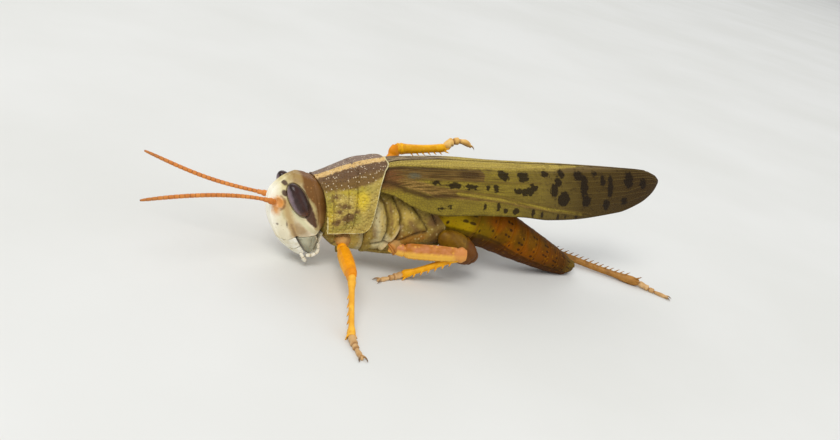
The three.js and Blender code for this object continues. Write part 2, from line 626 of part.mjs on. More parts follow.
// The origin is under the middle of the whole animal, on the floor.
const box = new THREE.Box3().setFromObject(grasshopper, true);
const middle = box.getCenter(new THREE.Vector3());
for (const child of grasshopper.children) {
  child.position.x -= middle.x;
  child.position.y -= middle.y;
}

export default grasshopper;
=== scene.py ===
"""A life-size grasshopper with folded wings, as a still museum model on a plain floor."""
from math import cos, pi, radians, sin

import bpy
import numpy as np
from mathutils import Matrix, Vector

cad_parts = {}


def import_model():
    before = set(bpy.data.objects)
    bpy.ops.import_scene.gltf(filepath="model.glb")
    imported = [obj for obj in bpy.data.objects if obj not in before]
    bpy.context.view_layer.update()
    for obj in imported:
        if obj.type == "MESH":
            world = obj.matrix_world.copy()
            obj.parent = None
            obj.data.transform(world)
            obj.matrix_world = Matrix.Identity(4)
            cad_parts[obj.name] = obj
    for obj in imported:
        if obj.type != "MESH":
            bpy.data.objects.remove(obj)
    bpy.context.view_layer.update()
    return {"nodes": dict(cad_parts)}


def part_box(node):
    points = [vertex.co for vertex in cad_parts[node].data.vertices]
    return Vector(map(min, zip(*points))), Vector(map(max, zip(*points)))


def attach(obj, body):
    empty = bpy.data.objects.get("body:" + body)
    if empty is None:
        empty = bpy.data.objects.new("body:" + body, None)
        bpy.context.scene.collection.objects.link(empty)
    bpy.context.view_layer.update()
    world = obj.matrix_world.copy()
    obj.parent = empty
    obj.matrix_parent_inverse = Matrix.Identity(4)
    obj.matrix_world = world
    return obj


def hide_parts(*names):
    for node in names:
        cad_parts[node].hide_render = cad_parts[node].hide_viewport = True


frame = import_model()

bl_info = {
    "name": "Grasshopper model",
    "version": (1, 0, 0),
    "blender": (4, 5, 0),
    "location": "3D View > Sidebar > Grasshopper",
    "description": "Builds a life-size grasshopper piece by piece around its packed solids",
    "category": "Add Mesh",
}

MM = 0.001
SIDES = (("left", -1), ("right", 1))


# ---------------- curves and distances
def curve(keys):
    """A smooth curve through [position, value] pairs that doesn't overshoot them."""
    at, value = np.array(keys, float).T
    slope = np.diff(value) / np.diff(at)
    before, after = np.r_[slope[0], slope], np.r_[slope, slope[-1]]
    total = np.where(before + after == 0, 1.0, before + after)
    tangent = np.where(before * after > 0, 2 * before * after / total, 0.0)

    def read(x):
        i = np.clip(np.searchsorted(at, x) - 1, 0, len(at) - 2)
        span = at[i + 1] - at[i]
        s = np.clip((x - at[i]) / span, 0, 1)
        rise = s * (1 - s) * span * (tangent[i] * (1 - s) - tangent[i + 1] * s)
        return value[i] + (value[i + 1] - value[i]) * s * s * (3 - 2 * s) + rise

    return read


def lerp(a, b, t):
    return a + (b - a) * t


def power(value, exponent):
    """Sine or cosine raised so that a circle becomes a squarer or a sharper oval."""
    return np.sign(value) * np.abs(value) ** (2 / exponent)


def ridge(distance, width):
    """1 on a line and falling smoothly to 0 at about twice the width from it."""
    return np.exp(-(distance / width) ** 2)


def step(value, start, end):
    s = np.clip((value - start) / (end - start), 0, 1)
    return s * s * (3 - 2 * s)


def to_line(a, b, points):
    """Distance in the plane of a and b to a line through the given points."""
    best = np.full(np.shape(a), 1e3)
    for (a0, b0), (a1, b1) in zip(points, points[1:]):
        da, db = a1 - a0, b1 - b0
        t = np.clip(((a - a0) * da + (b - b0) * db) / (da * da + db * db), 0, 1)
        best = np.minimum(best, np.hypot(a - a0 - t * da, b - b0 - t * db))
    return best


def to_oval(a, b, centre, radii, lean=0.0):
    """Signed distance, about, to an oval: negative inside it."""
    c, s = cos(radians(lean)), sin(radians(lean))
    da, db = a - centre[0], b - centre[1]
    reach = np.hypot((da * c + db * s) / radii[0], (db * c - da * s) / radii[1])
    return (reach - 1) * min(radii)


def nearest(*distances):
    return np.minimum.reduce(distances)


def to_ovals(a, b, *ovals):
    """Signed distance to the nearest of some ovals, each given by its middle, radii and lean."""
    return nearest(*[to_oval(a, b, *oval) for oval in ovals])


def from_whole(value):
    """Distance to the nearest whole number, for rings that repeat."""
    return np.abs(np.mod(value + 0.5, 1) - 0.5)


def from_top(turn):
    """The angle from the upper side of a limb or ring, 0 to pi down either side."""
    return np.abs(np.mod(turn + pi, 2 * pi) - pi)


def between_poles(u):
    """0 at both ends of a shape, where its rings close to a point, and 1 between them."""
    return np.where((u == 0) | (u == 1), 0.0, 1.0)


# ---------------- trunk axes
# Trunk axes are millimetres along the pitched body: x from face to wing tips, z up from its middle.
PITCH = radians(7.63)
EYE_CENTRE = (-26.35, 2.5, 9.0)
TILT = np.array([[cos(PITCH), 0, -sin(PITCH)], [0, 1, 0], [sin(PITCH), 0, cos(PITCH)]])


def box_middle(node):
    low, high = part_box(node)
    return np.array((low + high) / 2) / MM


EYES_MIDDLE = (box_middle("eye_left") + box_middle("eye_right")) / 2
TRUNK_ORIGIN = EYES_MIDDLE - TILT @ np.array([EYE_CENTRE[0], 0, EYE_CENTRE[2]])


def from_trunk(points):
    return (np.asarray(points) @ TILT.T + TRUNK_ORIGIN) * MM


def to_trunk(points):
    return (np.asarray(points) / MM - TRUNK_ORIGIN) @ TILT


def centre_line(node, start, degree):
    """The middle line of a long CAD node as a function of 0 to 1, from the end nearest to start."""
    co = np.array([v.co for v in frame["nodes"][node].data.vertices]) / MM
    co = np.unique(np.round(co, 4), axis=0)
    middle = co.mean(0)
    axis = np.linalg.svd(co - middle)[2][0]
    if (np.asarray(start) - middle) @ axis > 0:
        axis = -axis
    s = (co - middle) @ axis
    low, high = s.min(), s.max()
    fits = [np.polyfit((s - low) / (high - low), co[:, k], degree) for k in range(3)]
    return lambda t: np.stack([np.polyval(fit, t) for fit in fits], -1)


# ---------------- modelling helpers
def pick_nothing():
    if bpy.context.object and bpy.context.object.mode != "OBJECT":
        bpy.ops.object.mode_set(mode="OBJECT")
    bpy.ops.object.select_all(action="DESELECT")


def pick(*objects):
    pick_nothing()
    for obj in objects:
        obj.select_set(True)
    bpy.context.view_layer.objects.active = objects[0]


def newly_made(name):
    """The object that an operator has just made, under its own name."""
    obj = bpy.context.object
    obj.name = obj.data.name = name
    return obj


def coordinates(obj):
    co = np.empty(len(obj.data.vertices) * 3)
    obj.data.vertices.foreach_get("co", co)
    return co.reshape(-1, 3)


def set_coordinates(obj, co):
    obj.data.vertices.foreach_set("co", np.ascontiguousarray(co, dtype=float).ravel())
    obj.data.update()


def paint(obj, fields):
    """Writes each named field of one number per vertex, such as a distance to a marking, on the mesh."""
    for name, values in fields.items():
        old = obj.data.attributes.get(name)
        if old:
            obj.data.attributes.remove(old)
        layer = obj.data.attributes.new(name, "FLOAT", "POINT")
        layer.data.foreach_set("value", np.ascontiguousarray(values, dtype=np.float32))


def modify(obj, kind, **settings):
    pick(obj)
    modifier = obj.modifiers.new(kind.title(), kind)
    for name, value in settings.items():
        setattr(modifier, name, value)
    bpy.ops.object.modifier_apply(modifier=modifier.name)


def round_off(obj):
    modify(obj, "SUBSURF", levels=2, render_levels=2)


def face_outwards():
    """Turns all faces of the shell in edit mode outwards and ends edit mode."""
    bpy.ops.mesh.select_all(action="SELECT")
    bpy.ops.mesh.normals_make_consistent(inside=False)
    bpy.ops.object.mode_set(mode="OBJECT")


def close_up(obj):
    """Merges the points that lie together and turns the faces outwards."""
    pick(obj)
    bpy.ops.object.mode_set(mode="EDIT")
    bpy.ops.mesh.select_all(action="SELECT")
    bpy.ops.mesh.remove_doubles(threshold=2e-6)
    face_outwards()


def shaped_grid(name, columns, rows, place, closed=True):
    """A grid whose points at (u, v) from 0 to 1 go where place puts them; place may also paint fields."""
    pick_nothing()
    bpy.ops.mesh.primitive_grid_add(x_subdivisions=columns, y_subdivisions=rows, size=2)
    obj = newly_made(name)
    flat = coordinates(obj)
    made = place((flat[:, 0] + 1) / 2, (flat[:, 1] + 1) / 2)
    points, fields = made if isinstance(made, tuple) else (made, {})
    set_coordinates(obj, points)
    paint(obj, fields)
    if closed:
        close_up(obj)
    return obj


# The share of a limb's grid that closes each of its ends.
CAP = 0.02


def rounded_end(u):
    return np.sqrt(np.clip(1 - np.clip(1 - u / CAP, 0, 1) ** 2, 0, 1))


def tube(name, path, radii, up, around, along, relief, fields):
    """A closed limb along path(t): radii(t) gives its half depth along up and half thickness across."""
    def place(u, v):
        capped = np.clip((u - CAP) / (1 - 2 * CAP), 0, 1)
        middle = path(capped)
        ahead = path(np.clip(capped + 0.01, 0, 1.01)) - path(np.clip(capped - 0.01, -0.01, 1))
        ahead /= np.linalg.norm(ahead, axis=1)[:, None]
        across = np.cross(ahead, up)
        across /= np.linalg.norm(across, axis=1)[:, None]
        lift = np.cross(across, ahead)
        turn = 2 * pi * v
        deep, thick = radii(capped)
        swell = 1 + relief(capped, turn)
        ends = rounded_end(u) * rounded_end(1 - u)
        high = (np.cos(turn) * deep * swell * ends)[:, None]
        wide = (np.sin(turn) * thick * swell * ends)[:, None]
        points = middle + lift * high + across * wide
        return points * MM, fields(capped, turn)

    return shaped_grid(name, along, around, place)


def drawn_out(name, steps, corners=8):
    """A round face drawn out by extrusion through (middle, radius) steps, in part millimetres."""
    pick_nothing()
    (first, radius), rest = steps[0], steps[1:]
    ahead = Vector(rest[0][0]) - Vector(first)
    turn = ahead.to_track_quat("Z", "Y").to_euler()
    bpy.ops.mesh.primitive_circle_add(vertices=corners, radius=radius * MM, fill_type="NGON",
                                      location=Vector(first) * MM, rotation=turn)
    obj = newly_made(name)
    bpy.ops.object.transform_apply(location=True, rotation=True, scale=True)
    bpy.ops.object.mode_set(mode="EDIT")
    bpy.ops.mesh.select_all(action="SELECT")
    here = Vector(first)
    for middle, new_radius in rest:
        move = (Vector(middle) - here) * MM
        bpy.ops.mesh.extrude_region_move(TRANSFORM_OT_translate={"value": move})
        size = new_radius / radius
        bpy.ops.transform.resize(value=(size, size, size), center_override=Vector(middle) * MM)
        here, radius = Vector(middle), new_radius
    face_outwards()
    return obj


def copied(obj, name, place):
    """A copy of obj with a mesh of its own, moved by a 4x4 matrix in metres."""
    twin = obj.copy()
    twin.data = obj.data.copy()
    twin.name = twin.data.name = name
    bpy.context.scene.collection.objects.link(twin)
    twin.data.transform(place)
    return twin


def placed(root, ahead, up, size=1.0):
    """The matrix that puts a piece modelled at the origin along +Z at root, pointing ahead."""
    z = Vector(ahead).normalized()
    y = (Vector(up) - z * Vector(up).dot(z)).normalized()
    turn = Matrix((y.cross(z), y, z)).transposed()
    return Matrix.Translation(Vector(root) * MM) @ turn.to_4x4() @ Matrix.Scale(size, 4)


def joined(name, pieces):
    pick(*pieces)
    bpy.ops.object.join()
    return newly_made(name)


def oval_ball(name, centre, radii, turn, rings):
    """A ball at a place in part millimetres, stretched and turned."""
    pick_nothing()
    bpy.ops.mesh.primitive_uv_sphere_add(segments=2 * rings, ring_count=rings, radius=MM,
                                         location=Vector(centre) * MM, rotation=turn)
    obj = newly_made(name)
    obj.scale = radii
    bpy.ops.object.transform_apply(location=True, rotation=True, scale=True)
    return obj


def finished(obj, material, slot, *nodes):
    """Gives a piece its material, hangs it under the root and hides the CAD nodes it stands for; slot is not
    used.
    """
    pick(obj)
    obj.data.materials.clear()
    obj.data.materials.append(material)
    bpy.ops.object.shade_smooth()
    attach(obj, "root")
    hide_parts(*nodes)


# ---------------- materials
def new_socket(tree, name, direction, default=None):
    socket = tree.interface.new_socket(name=name, in_out=direction, socket_type="NodeSocketFloat")
    if default is not None:
        socket.default_value = default


def place_in_mm(tree):
    """A socket with the place on the piece in millimetres, so that a texture's scale is per millimetre."""
    place, scaled = tree.nodes.new("ShaderNodeTexCoord"), tree.nodes.new("ShaderNodeVectorMath")
    scaled.operation = "SCALE"
    scaled.inputs["Scale"].default_value = 1 / MM
    tree.links.new(place.outputs["Object"], scaled.inputs[0])
    return scaled.outputs[0]


def marking_group():
    """Turns a distance to a marking, in millimetres, into its mask, with an edge broken up by noise."""
    tree = bpy.data.node_groups.get("Marking edge")
    if tree:
        return tree
    tree = bpy.data.node_groups.new("Marking edge", "ShaderNodeTree")
    for name, default in (("Distance", 1.0), ("Softness", 0.1), ("Breakup", 0.1), ("Grain", 2.0)):
        new_socket(tree, name, "INPUT", default)
    new_socket(tree, "Mask", "OUTPUT")
    node, link = tree.nodes.new, tree.links.new
    given, out = node("NodeGroupInput"), node("NodeGroupOutput")
    noise = node("ShaderNodeTexNoise")
    noise.inputs["Detail"].default_value = 3
    link(place_in_mm(tree), noise.inputs["Vector"])
    link(given.outputs["Grain"], noise.inputs["Scale"])
    centred, pushed = node("ShaderNodeMath"), node("ShaderNodeMath")
    centred.operation, pushed.operation = "SUBTRACT", "MULTIPLY_ADD"
    centred.inputs[1].default_value = 0.5
    link(noise.outputs["Fac"], centred.inputs[0])
    link(centred.outputs[0], pushed.inputs[0])
    link(given.outputs["Breakup"], pushed.inputs[1])
    link(given.outputs["Distance"], pushed.inputs[2])
    shared = node("ShaderNodeMath")
    shared.operation = "DIVIDE"
    link(pushed.outputs[0], shared.inputs[0])
    link(given.outputs["Softness"], shared.inputs[1])
    flipped = node("ShaderNodeMath")
    flipped.operation, flipped.use_clamp = "SUBTRACT", True
    flipped.inputs[0].default_value = 0.5
    link(shared.outputs[0], flipped.inputs[1])
    link(flipped.outputs[0], out.inputs["Mask"])
    return tree


def shell_group():
    """The grain of insect shell: a fine pitted height and a slow change of tone, both from 0 to 1."""
    tree = bpy.data.node_groups.get("Shell grain")
    if tree:
        return tree
    tree = bpy.data.node_groups.new("Shell grain", "ShaderNodeTree")
    for name, default in (("Pits", 4.0), ("Pit depth", 0.5), ("Wrinkles", 3.0), ("Tone", 0.4)):
        new_socket(tree, name, "INPUT", default)
    new_socket(tree, "Height", "OUTPUT")
    new_socket(tree, "Tone", "OUTPUT")
    node, link = tree.nodes.new, tree.links.new
    given, out = node("NodeGroupInput"), node("NodeGroupOutput")
    place, pits = place_in_mm(tree), node("ShaderNodeTexVoronoi")
    wrinkles, tone = node("ShaderNodeTexNoise"), node("ShaderNodeTexNoise")
    pits.feature = "SMOOTH_F1"
    wrinkles.inputs["Detail"].default_value = 5
    tone.inputs["Detail"].default_value = 4
    for texture, scale in ((pits, "Pits"), (wrinkles, "Wrinkles"), (tone, "Tone")):
        link(place, texture.inputs["Vector"])
        link(given.outputs[scale], texture.inputs["Scale"])
    deep = node("ShaderNodeMath")
    deep.operation = "MULTIPLY_ADD"
    link(pits.outputs["Distance"], deep.inputs[0])
    link(given.outputs["Pit depth"], deep.inputs[1])
    link(wrinkles.outputs["Fac"], deep.inputs[2])
    link(deep.outputs[0], out.inputs["Height"])
    link(tone.outputs["Fac"], out.inputs["Tone"])
    return tree


def rgba(colour):
    """A hex colour as the linear one that a socket takes; a linear colour only gets its alpha."""
    if not isinstance(colour, str):
        return (*colour[:3], 1.0)
    parts = [int(colour[i:i + 2], 16) / 255 for i in (1, 3, 5)]
    return (*[c / 12.92 if c <= 0.04045 else ((c + 0.055) / 1.055) ** 2.4 for c in parts], 1.0)


# A Mix node has sockets for numbers, vectors and colours; these are the factor and the two colours.
MIX_COLOUR_INPUTS = (0, 6, 7)
MIX_COLOUR_OUTPUT = 2
# How far the grain changes the roughness of a shell.
UNEVEN = 0.22


class Finish:
    """A material under construction: a base colour with layers of markings, grain and one shader."""

    def __init__(self, name, base, dark, tone_scale=0.6, roughness=0.45, shine=0.3):
        self.material = bpy.data.materials.new(name)
        self.material.use_nodes = True
        self.tree = self.material.node_tree
        self.tree.nodes.clear()
        self.shader = self.add("ShaderNodeBsdfPrincipled")
        self.shader.inputs["Roughness"].default_value = roughness
        self.shader.inputs["Specular IOR Level"].default_value = shine
        output = self.add("ShaderNodeOutputMaterial")
        self.link(self.shader.outputs["BSDF"], output.inputs["Surface"])
        self.grain = self.add("ShaderNodeGroup")
        self.grain.node_tree = shell_group()
        self.grain.inputs["Tone"].default_value = tone_scale
        ramp = self.add("ShaderNodeMapRange")
        ramp.inputs["From Min"].default_value = 0.35
        ramp.inputs["From Max"].default_value = 0.65
        self.link(self.grain.outputs["Tone"], ramp.inputs["Value"])
        self.colour = self.mix(ramp.outputs[0], rgba(base), rgba(dark))

    def add(self, kind):
        return self.tree.nodes.new(kind)

    def link(self, start, end):
        self.tree.links.new(start, end)

    def feed(self, sockets, values):
        """Links each socket to the socket given for it, or sets it to the value given."""
        for socket, value in zip(sockets, values):
            if isinstance(value, bpy.types.NodeSocket):
                self.link(value, socket)
            else:
                socket.default_value = value

    def mix(self, factor, below, above):
        node = self.add("ShaderNodeMix")
        node.data_type = "RGBA"
        self.feed([node.inputs[i] for i in MIX_COLOUR_INPUTS], (factor, below, above))
        return node.outputs[MIX_COLOUR_OUTPUT]

    def math(self, operation, *values, clamp=False):
        node = self.add("ShaderNodeMath")
        node.operation, node.use_clamp = operation, clamp
        self.feed(node.inputs, values)
        return node.outputs[0]

    def field(self, name):
        node = self.add("ShaderNodeAttribute")
        node.attribute_name = name
        return node.outputs["Fac"]

    def mask(self, distance, softness=0.15, breakup=0.1, grain=2.0, strength=1.0):
        """The mask of a marking from a painted distance or from a socket that gives one."""
        group = self.add("ShaderNodeGroup")
        group.node_tree = marking_group()
        source = self.field(distance) if isinstance(distance, str) else distance
        self.link(source, group.inputs["Distance"])
        for name, value in (("Softness", softness), ("Breakup", breakup), ("Grain", grain)):
            group.inputs[name].default_value = value
        return self.math("MULTIPLY", group.outputs["Mask"], strength)

    def layer(self, distance, colour, softness=0.15, strength=0.85, **edge):
        """Lays a marking over the colour so far; softness is the width of its edge in millimetres."""
        mask = self.mask(distance, softness, strength=strength, **edge)
        self.colour = self.mix(mask, self.colour, rgba(colour))

    def speckle(self, per_mm, size, colour, strength=0.6, where=None, share=0.5):
        """Strews small dots over the surface, or over a mask; share is how many of the places have one."""
        dots = self.add("ShaderNodeTexVoronoi")
        self.link(place_in_mm(self.tree), dots.inputs["Vector"])
        dots.inputs["Scale"].default_value = per_mm
        chance = self.add("ShaderNodeSeparateColor")
        self.link(dots.outputs["Color"], chance.inputs[0])
        inside = self.math("SUBTRACT", size, dots.outputs["Distance"])
        inside = self.math("MULTIPLY", inside, 6.0, clamp=True)
        kept = self.math("LESS_THAN", chance.outputs[0], share)
        amount = self.math("MULTIPLY", self.math("MULTIPLY", inside, kept), strength)
        if where is not None:
            amount = self.math("MULTIPLY", amount, where)
        self.colour = self.mix(amount, self.colour, rgba(colour))

    def done(self, pits=4.0, pit_depth=0.4, wrinkles=3.0, bump=0.3, bump_mm=0.05, extra=None, coat=0.0):
        """Links the colour and the bump; extra is a socket with a further height."""
        self.grain.inputs["Pits"].default_value = pits
        self.grain.inputs["Pit depth"].default_value = pit_depth
        self.grain.inputs["Wrinkles"].default_value = wrinkles
        height = self.grain.outputs["Height"]
        if extra is not None:
            height = self.math("ADD", height, extra)
        relief = self.add("ShaderNodeBump")
        relief.inputs["Strength"].default_value = bump
        relief.inputs["Distance"].default_value = bump_mm * MM
        self.link(height, relief.inputs["Height"])
        self.link(relief.outputs["Normal"], self.shader.inputs["Normal"])
        self.link(self.colour, self.shader.inputs["Base Color"])
        smoothest = self.shader.inputs["Roughness"].default_value - UNEVEN / 2
        uneven = self.math("MULTIPLY_ADD", self.grain.outputs["Height"], UNEVEN, smoothest)
        self.link(uneven, self.shader.inputs["Roughness"])
        self.shader.inputs["Coat Weight"].default_value = coat
        self.shader.inputs["Coat Roughness"].default_value = 0.25
        return self.material


# ---------------- head
# The front, the back and the half width of the head by height, in trunk axes.
HEAD_FRONT = curve([[-0.3, -24.4], [0.55, -25.5], [1.66, -26.9], [2.9, -27.95], [4.75, -28.95],
                    [6.25, -29.4], [8.3, -29.55], [9.4, -29.3], [10.2, -28.75], [10.9, -28.0],
                    [11.4, -27.25], [11.8, -26.4]])
HEAD_BACK = curve([[-0.3, -23.5], [1, -22.95], [4, -22.3], [6, -21.6], [10.2, -21.6], [10.8, -23.0],
                   [11.4, -24.4], [11.8, -25.6]])
HEAD_HALF_WIDTH = curve([[-0.3, 0.9], [1.3, 2.3], [3.2, 2.95], [5, 3.3], [7, 3.25], [9, 2.85], [10.4, 2.2],
                         [11.3, 1.5], [11.8, 0.7]])
HEAD_WIDEST_X = -24.6
HEAD_SPAN = (-0.3, 11.8)
EYE_LEAN, EYE_TUCK = radians(-27), radians(14)
EYE_SEAT = (-26.22, 2.5, 8.95)
EYE_BALL = (1.1, 1.16, 2.4)
FEELER_SOCKET = (-28.85, 2.0, 8.42)
# The lower lip lies a little behind the outline of the head.
LABIUM_SHIFT = 0.5
# How far each jaw stays from the middle, and the sizes of the even mesh of the plates.
JAW_GAP = 0.06
FINE_VOXEL = 0.06
FACE_VOXEL = 0.075

# Side-view outlines of the plates of the head, parted by thin sutures.
HEAD_CUTS = {
    "head": [(-35, 2.98), (-27.15, 2.98), (-26.15, 3.85), (-23.4, 4.0), (-22.5, 5.5), (-20, 8), (-20, 15),
             (-35, 15)],
    "clypeus": [(-35, 2.88), (-27.12, 2.88), (-26.14, 3.72), (-25.34, 2.42), (-25.85, 1.67), (-35, 1.67)],
    "labrum": [(-35, 1.55), (-25.83, 1.55), (-25.22, 2.3), (-24.85, 1.68), (-24.55, 1.15), (-24.8, 0.75),
               (-25.4, 0.6), (-35, 0.6)],
    "mandible": [(-26.02, 3.74), (-23.4, 3.88), (-22.75, 3.0), (-22.72, 1.4), (-23.2, 0.62), (-23.7, 0.72),
                 (-24.7, 1.62)],
    "labium": [(-22.66, 3.85), (-21.8, 3.85), (-21.8, 0.4), (-22.9, 0.3), (-22.66, 1.3)],
}


def head_blank(u, v):
    z = lerp(*HEAD_SPAN, (1 - np.cos(pi * u)) / 2)
    front, back = HEAD_FRONT(z), HEAD_BACK(z)
    middle = np.minimum(HEAD_WIDEST_X, lerp(front, back, 0.6))
    a = 2 * pi * v
    ahead = np.cos(a) > 0
    reach = np.where(ahead, middle - front, back - middle)
    roundness = np.where(ahead, 1.75, 3.0)
    inner = between_poles(u)
    x = middle - inner * reach * power(np.cos(a), roundness)
    y = inner * HEAD_HALF_WIDTH(z) * power(np.sin(a), roundness)
    return from_trunk(np.stack([x, y, z], -1))


def side_prism(outline, low, high):
    """A prism over a side-view outline of (x, z) points in trunk axes, from y = low to y = high."""
    pick_nothing()
    bpy.ops.mesh.primitive_circle_add(vertices=len(outline), radius=MM, fill_type="NGON")
    obj = bpy.context.object
    set_coordinates(obj, from_trunk([(x, low, z) for x, z in outline]))
    bpy.ops.object.mode_set(mode="EDIT")
    bpy.ops.mesh.select_all(action="SELECT")
    bpy.ops.mesh.extrude_region_move(TRANSFORM_OT_translate={"value": (0, (high - low) * MM, 0)})
    face_outwards()
    return obj


def cut_plate(blank, name, outline, voxel, half=(-20, 20)):
    """The part of a blank inside a side-view outline, remeshed evenly with softened edges."""
    plate = copied(blank, name, Matrix.Identity(4))
    prism = side_prism(outline, *half)
    modify(plate, "BOOLEAN", operation="INTERSECT", object=prism, solver="EXACT")
    bpy.data.objects.remove(prism)
    modify(plate, "REMESH", mode="VOXEL", voxel_size=voxel * MM)
    modify(plate, "SMOOTH", factor=0.5, iterations=3)
    return plate


def carve(obj, height):
    """Moves each point along its normal by height(trunk points), in millimetres."""
    normals = np.empty(len(obj.data.vertices) * 3, np.float32)
    obj.data.vertex_normals.foreach_get("vector", normals)
    co = coordinates(obj)
    lift = height(to_trunk(co))
    set_coordinates(obj, co + normals.reshape(-1, 3) * lift[:, None] * MM)


def eye_reach(x, y, z):
    """Distance to the nearer eye's middle in units of its own radius: 1 on its surface."""
    side = np.where(y < 0, -1.0, 1.0)
    dx, dy, dz = x - EYE_SEAT[0], side * y - EYE_SEAT[1], z - EYE_SEAT[2]
    dy, dz = dy * cos(EYE_TUCK) + dz * sin(EYE_TUCK), dz * cos(EYE_TUCK) - dy * sin(EYE_TUCK)
    dx, dz = dx * cos(EYE_LEAN) - dz * sin(EYE_LEAN), dx * sin(EYE_LEAN) + dz * cos(EYE_LEAN)
    return np.sqrt((dx / EYE_BALL[0]) ** 2 + (dy / EYE_BALL[1]) ** 2 + (dz / EYE_BALL[2]) ** 2)


def socket_reach(x, side, z):
    """Distance to the middle of the feeler socket; side is the distance from the middle plane."""
    at_x, at_side, at_z = FEELER_SOCKET
    return np.sqrt((x - at_x) ** 2 + (side - at_side) ** 2 + (z - at_z) ** 2)


CHEEK_RIDGE = [(-28.2, 7.9), (-27.7, 6.8), (-27.4, 5.5), (-27.05, 4.2), (-26.9, 3.1)]
EYE_FURROW = [(-26.9, 7.4), (-26.6, 6.0), (-26.2, 4.6), (-26.0, 3.9)]
COSTA_HALF_WIDTH = curve([[2.9, 1.15], [6, 0.95], [8.5, 0.7], [10, 0.5], [11.4, 0.3]])


def head_height(p):
    x, y, z = p.T
    side = np.abs(y)
    face = step(-x, 26.6, 27.4)
    costa = ridge(side - COSTA_HALF_WIDTH(z), 0.16) * 0.13 - 0.07 * (side < COSTA_HALF_WIDTH(z) - 0.12)
    reach = eye_reach(x, y, z)
    rim = 0.1 * ridge(reach - 1.15, 0.05) - 0.14 * ridge(reach - 1.05, 0.04)
    cheek = 0.12 * ridge(to_line(x, z, CHEEK_RIDGE), 0.2) * (side > 1.4)
    furrow = -0.12 * ridge(to_line(x, z, EYE_FURROW), 0.16) * (side > 1.4)
    from_socket = socket_reach(x, side, z)
    socket = 0.14 * ridge(from_socket - 0.8, 0.16) - 0.4 * ridge(from_socket, 0.5)
    nape = -0.08 * ridge(to_line(x, z, [(-24.2, 11.6), (-23.7, 9), (-23.3, 6.5), (-23.4, 4.4)]), 0.12)
    crown = -0.05 * ridge(side, 0.09) * step(z, 10.8, 11.4)
    gena = 0.15 * ridge(to_oval(x, z, (-25.0, 5.3), (0.9, 0.9)) + 0.9, 0.9) * (side > 1.5)
    return costa * face * step(z, 2.8, 3.4) + rim + cheek + furrow + socket + nape + crown + gena


def head_markings(obj):
    """Distances, in millimetres, to the markings of the head."""
    x, y, z = to_trunk(coordinates(obj)).T
    side = np.abs(y)
    reach = eye_reach(x, y, z)
    behind_eye = to_line(x, z, [(-25.0, 10.8), (-24.72, 10.0), (-24.6, 9.0), (-24.2, 7.6), (-23.75, 6.2),
                                (-23.3, 4.9)])
    nape = np.interp(z, *zip((3.5, -22.6), (5, -23.0), (6.4, -23.55), (7.9, -23.9), (8.6, -24.3),
                             (9.2, -24.9), (9.8, -25.4), (10.4, -25.6), (11.5, -25.5))) - x
    crown = np.maximum(10.6 - z, -27.1 - x)
    tear = to_line(x, z, [(-25.6, 9.0), (-25.2, 8.2), (-24.92, 7.24), (-24.35, 6.25), (-23.75, 5.35)])
    tear_width = np.interp(z, [5.0, 5.5, 6.3, 7.3, 8.2, 9.0], [0.08, 0.24, 0.54, 0.7, 0.68, 0.4])
    # A pale stripe under the eye, brightened by a painted highlight.
    under_eye = to_line(x, z, [(-26.7, 7.6), (-26.2, 6.8), (-25.0, 5.45), (-24.0, 4.7), (-23.0, 4.2)])
    band = to_line(x, z, [(-27.75, 8.4), (-27.4, 7.0), (-26.85, 5.4), (-26.3, 4.1)])
    band_low = to_line(x, z, [(-26.9, 5.6), (-26.5, 4.7), (-26.2, 4.0)]) - 0.12
    from_socket = socket_reach(x, side, z)
    socket_arc = np.maximum(np.abs(from_socket - 1.05) - 0.12, -28.3 - x)
    spots = to_ovals(x, z, ((-27.8, 9.65), (0.36, 0.36)), ((-28.4, 5.3), (0.1, 0.14)),
                     ((-27.45, 5.65), (0.07, 0.3), 10))
    spots = nearest(spots, to_oval(x, z, (-27.7, 10.75), (0.34, 0.28)) + (side < 0.5))
    paint(obj, {
        "behind_eye": behind_eye - 0.5, "under_eye": under_eye - 0.28,
        "nape": nape, "nape_low": np.maximum(nape, z - 7.0),
        "tear": np.where(side > 1, tear - tear_width, 1),
        "band": np.where(side > 1.2, band - 0.42, 1), "band_low": band_low,
        # front: distance behind the front of the face, where a painted highlight lies.
        "crown": crown, "front": x + 28.55, "low_face": z - 6.2,
        "spots": spots, "socket_arc": socket_arc,
        "cheek": to_oval(x, z, (-25.85, 5.0), (1.25, 0.85), -40),
        "socket": nearest(from_socket - 0.95, to_oval(x, z, (-28.75, 7.5), (0.42, 0.8)) + (side < 1.0)),
        "eye_edge": np.abs(reach - 1.06) * 1.3 - 0.08,
    })


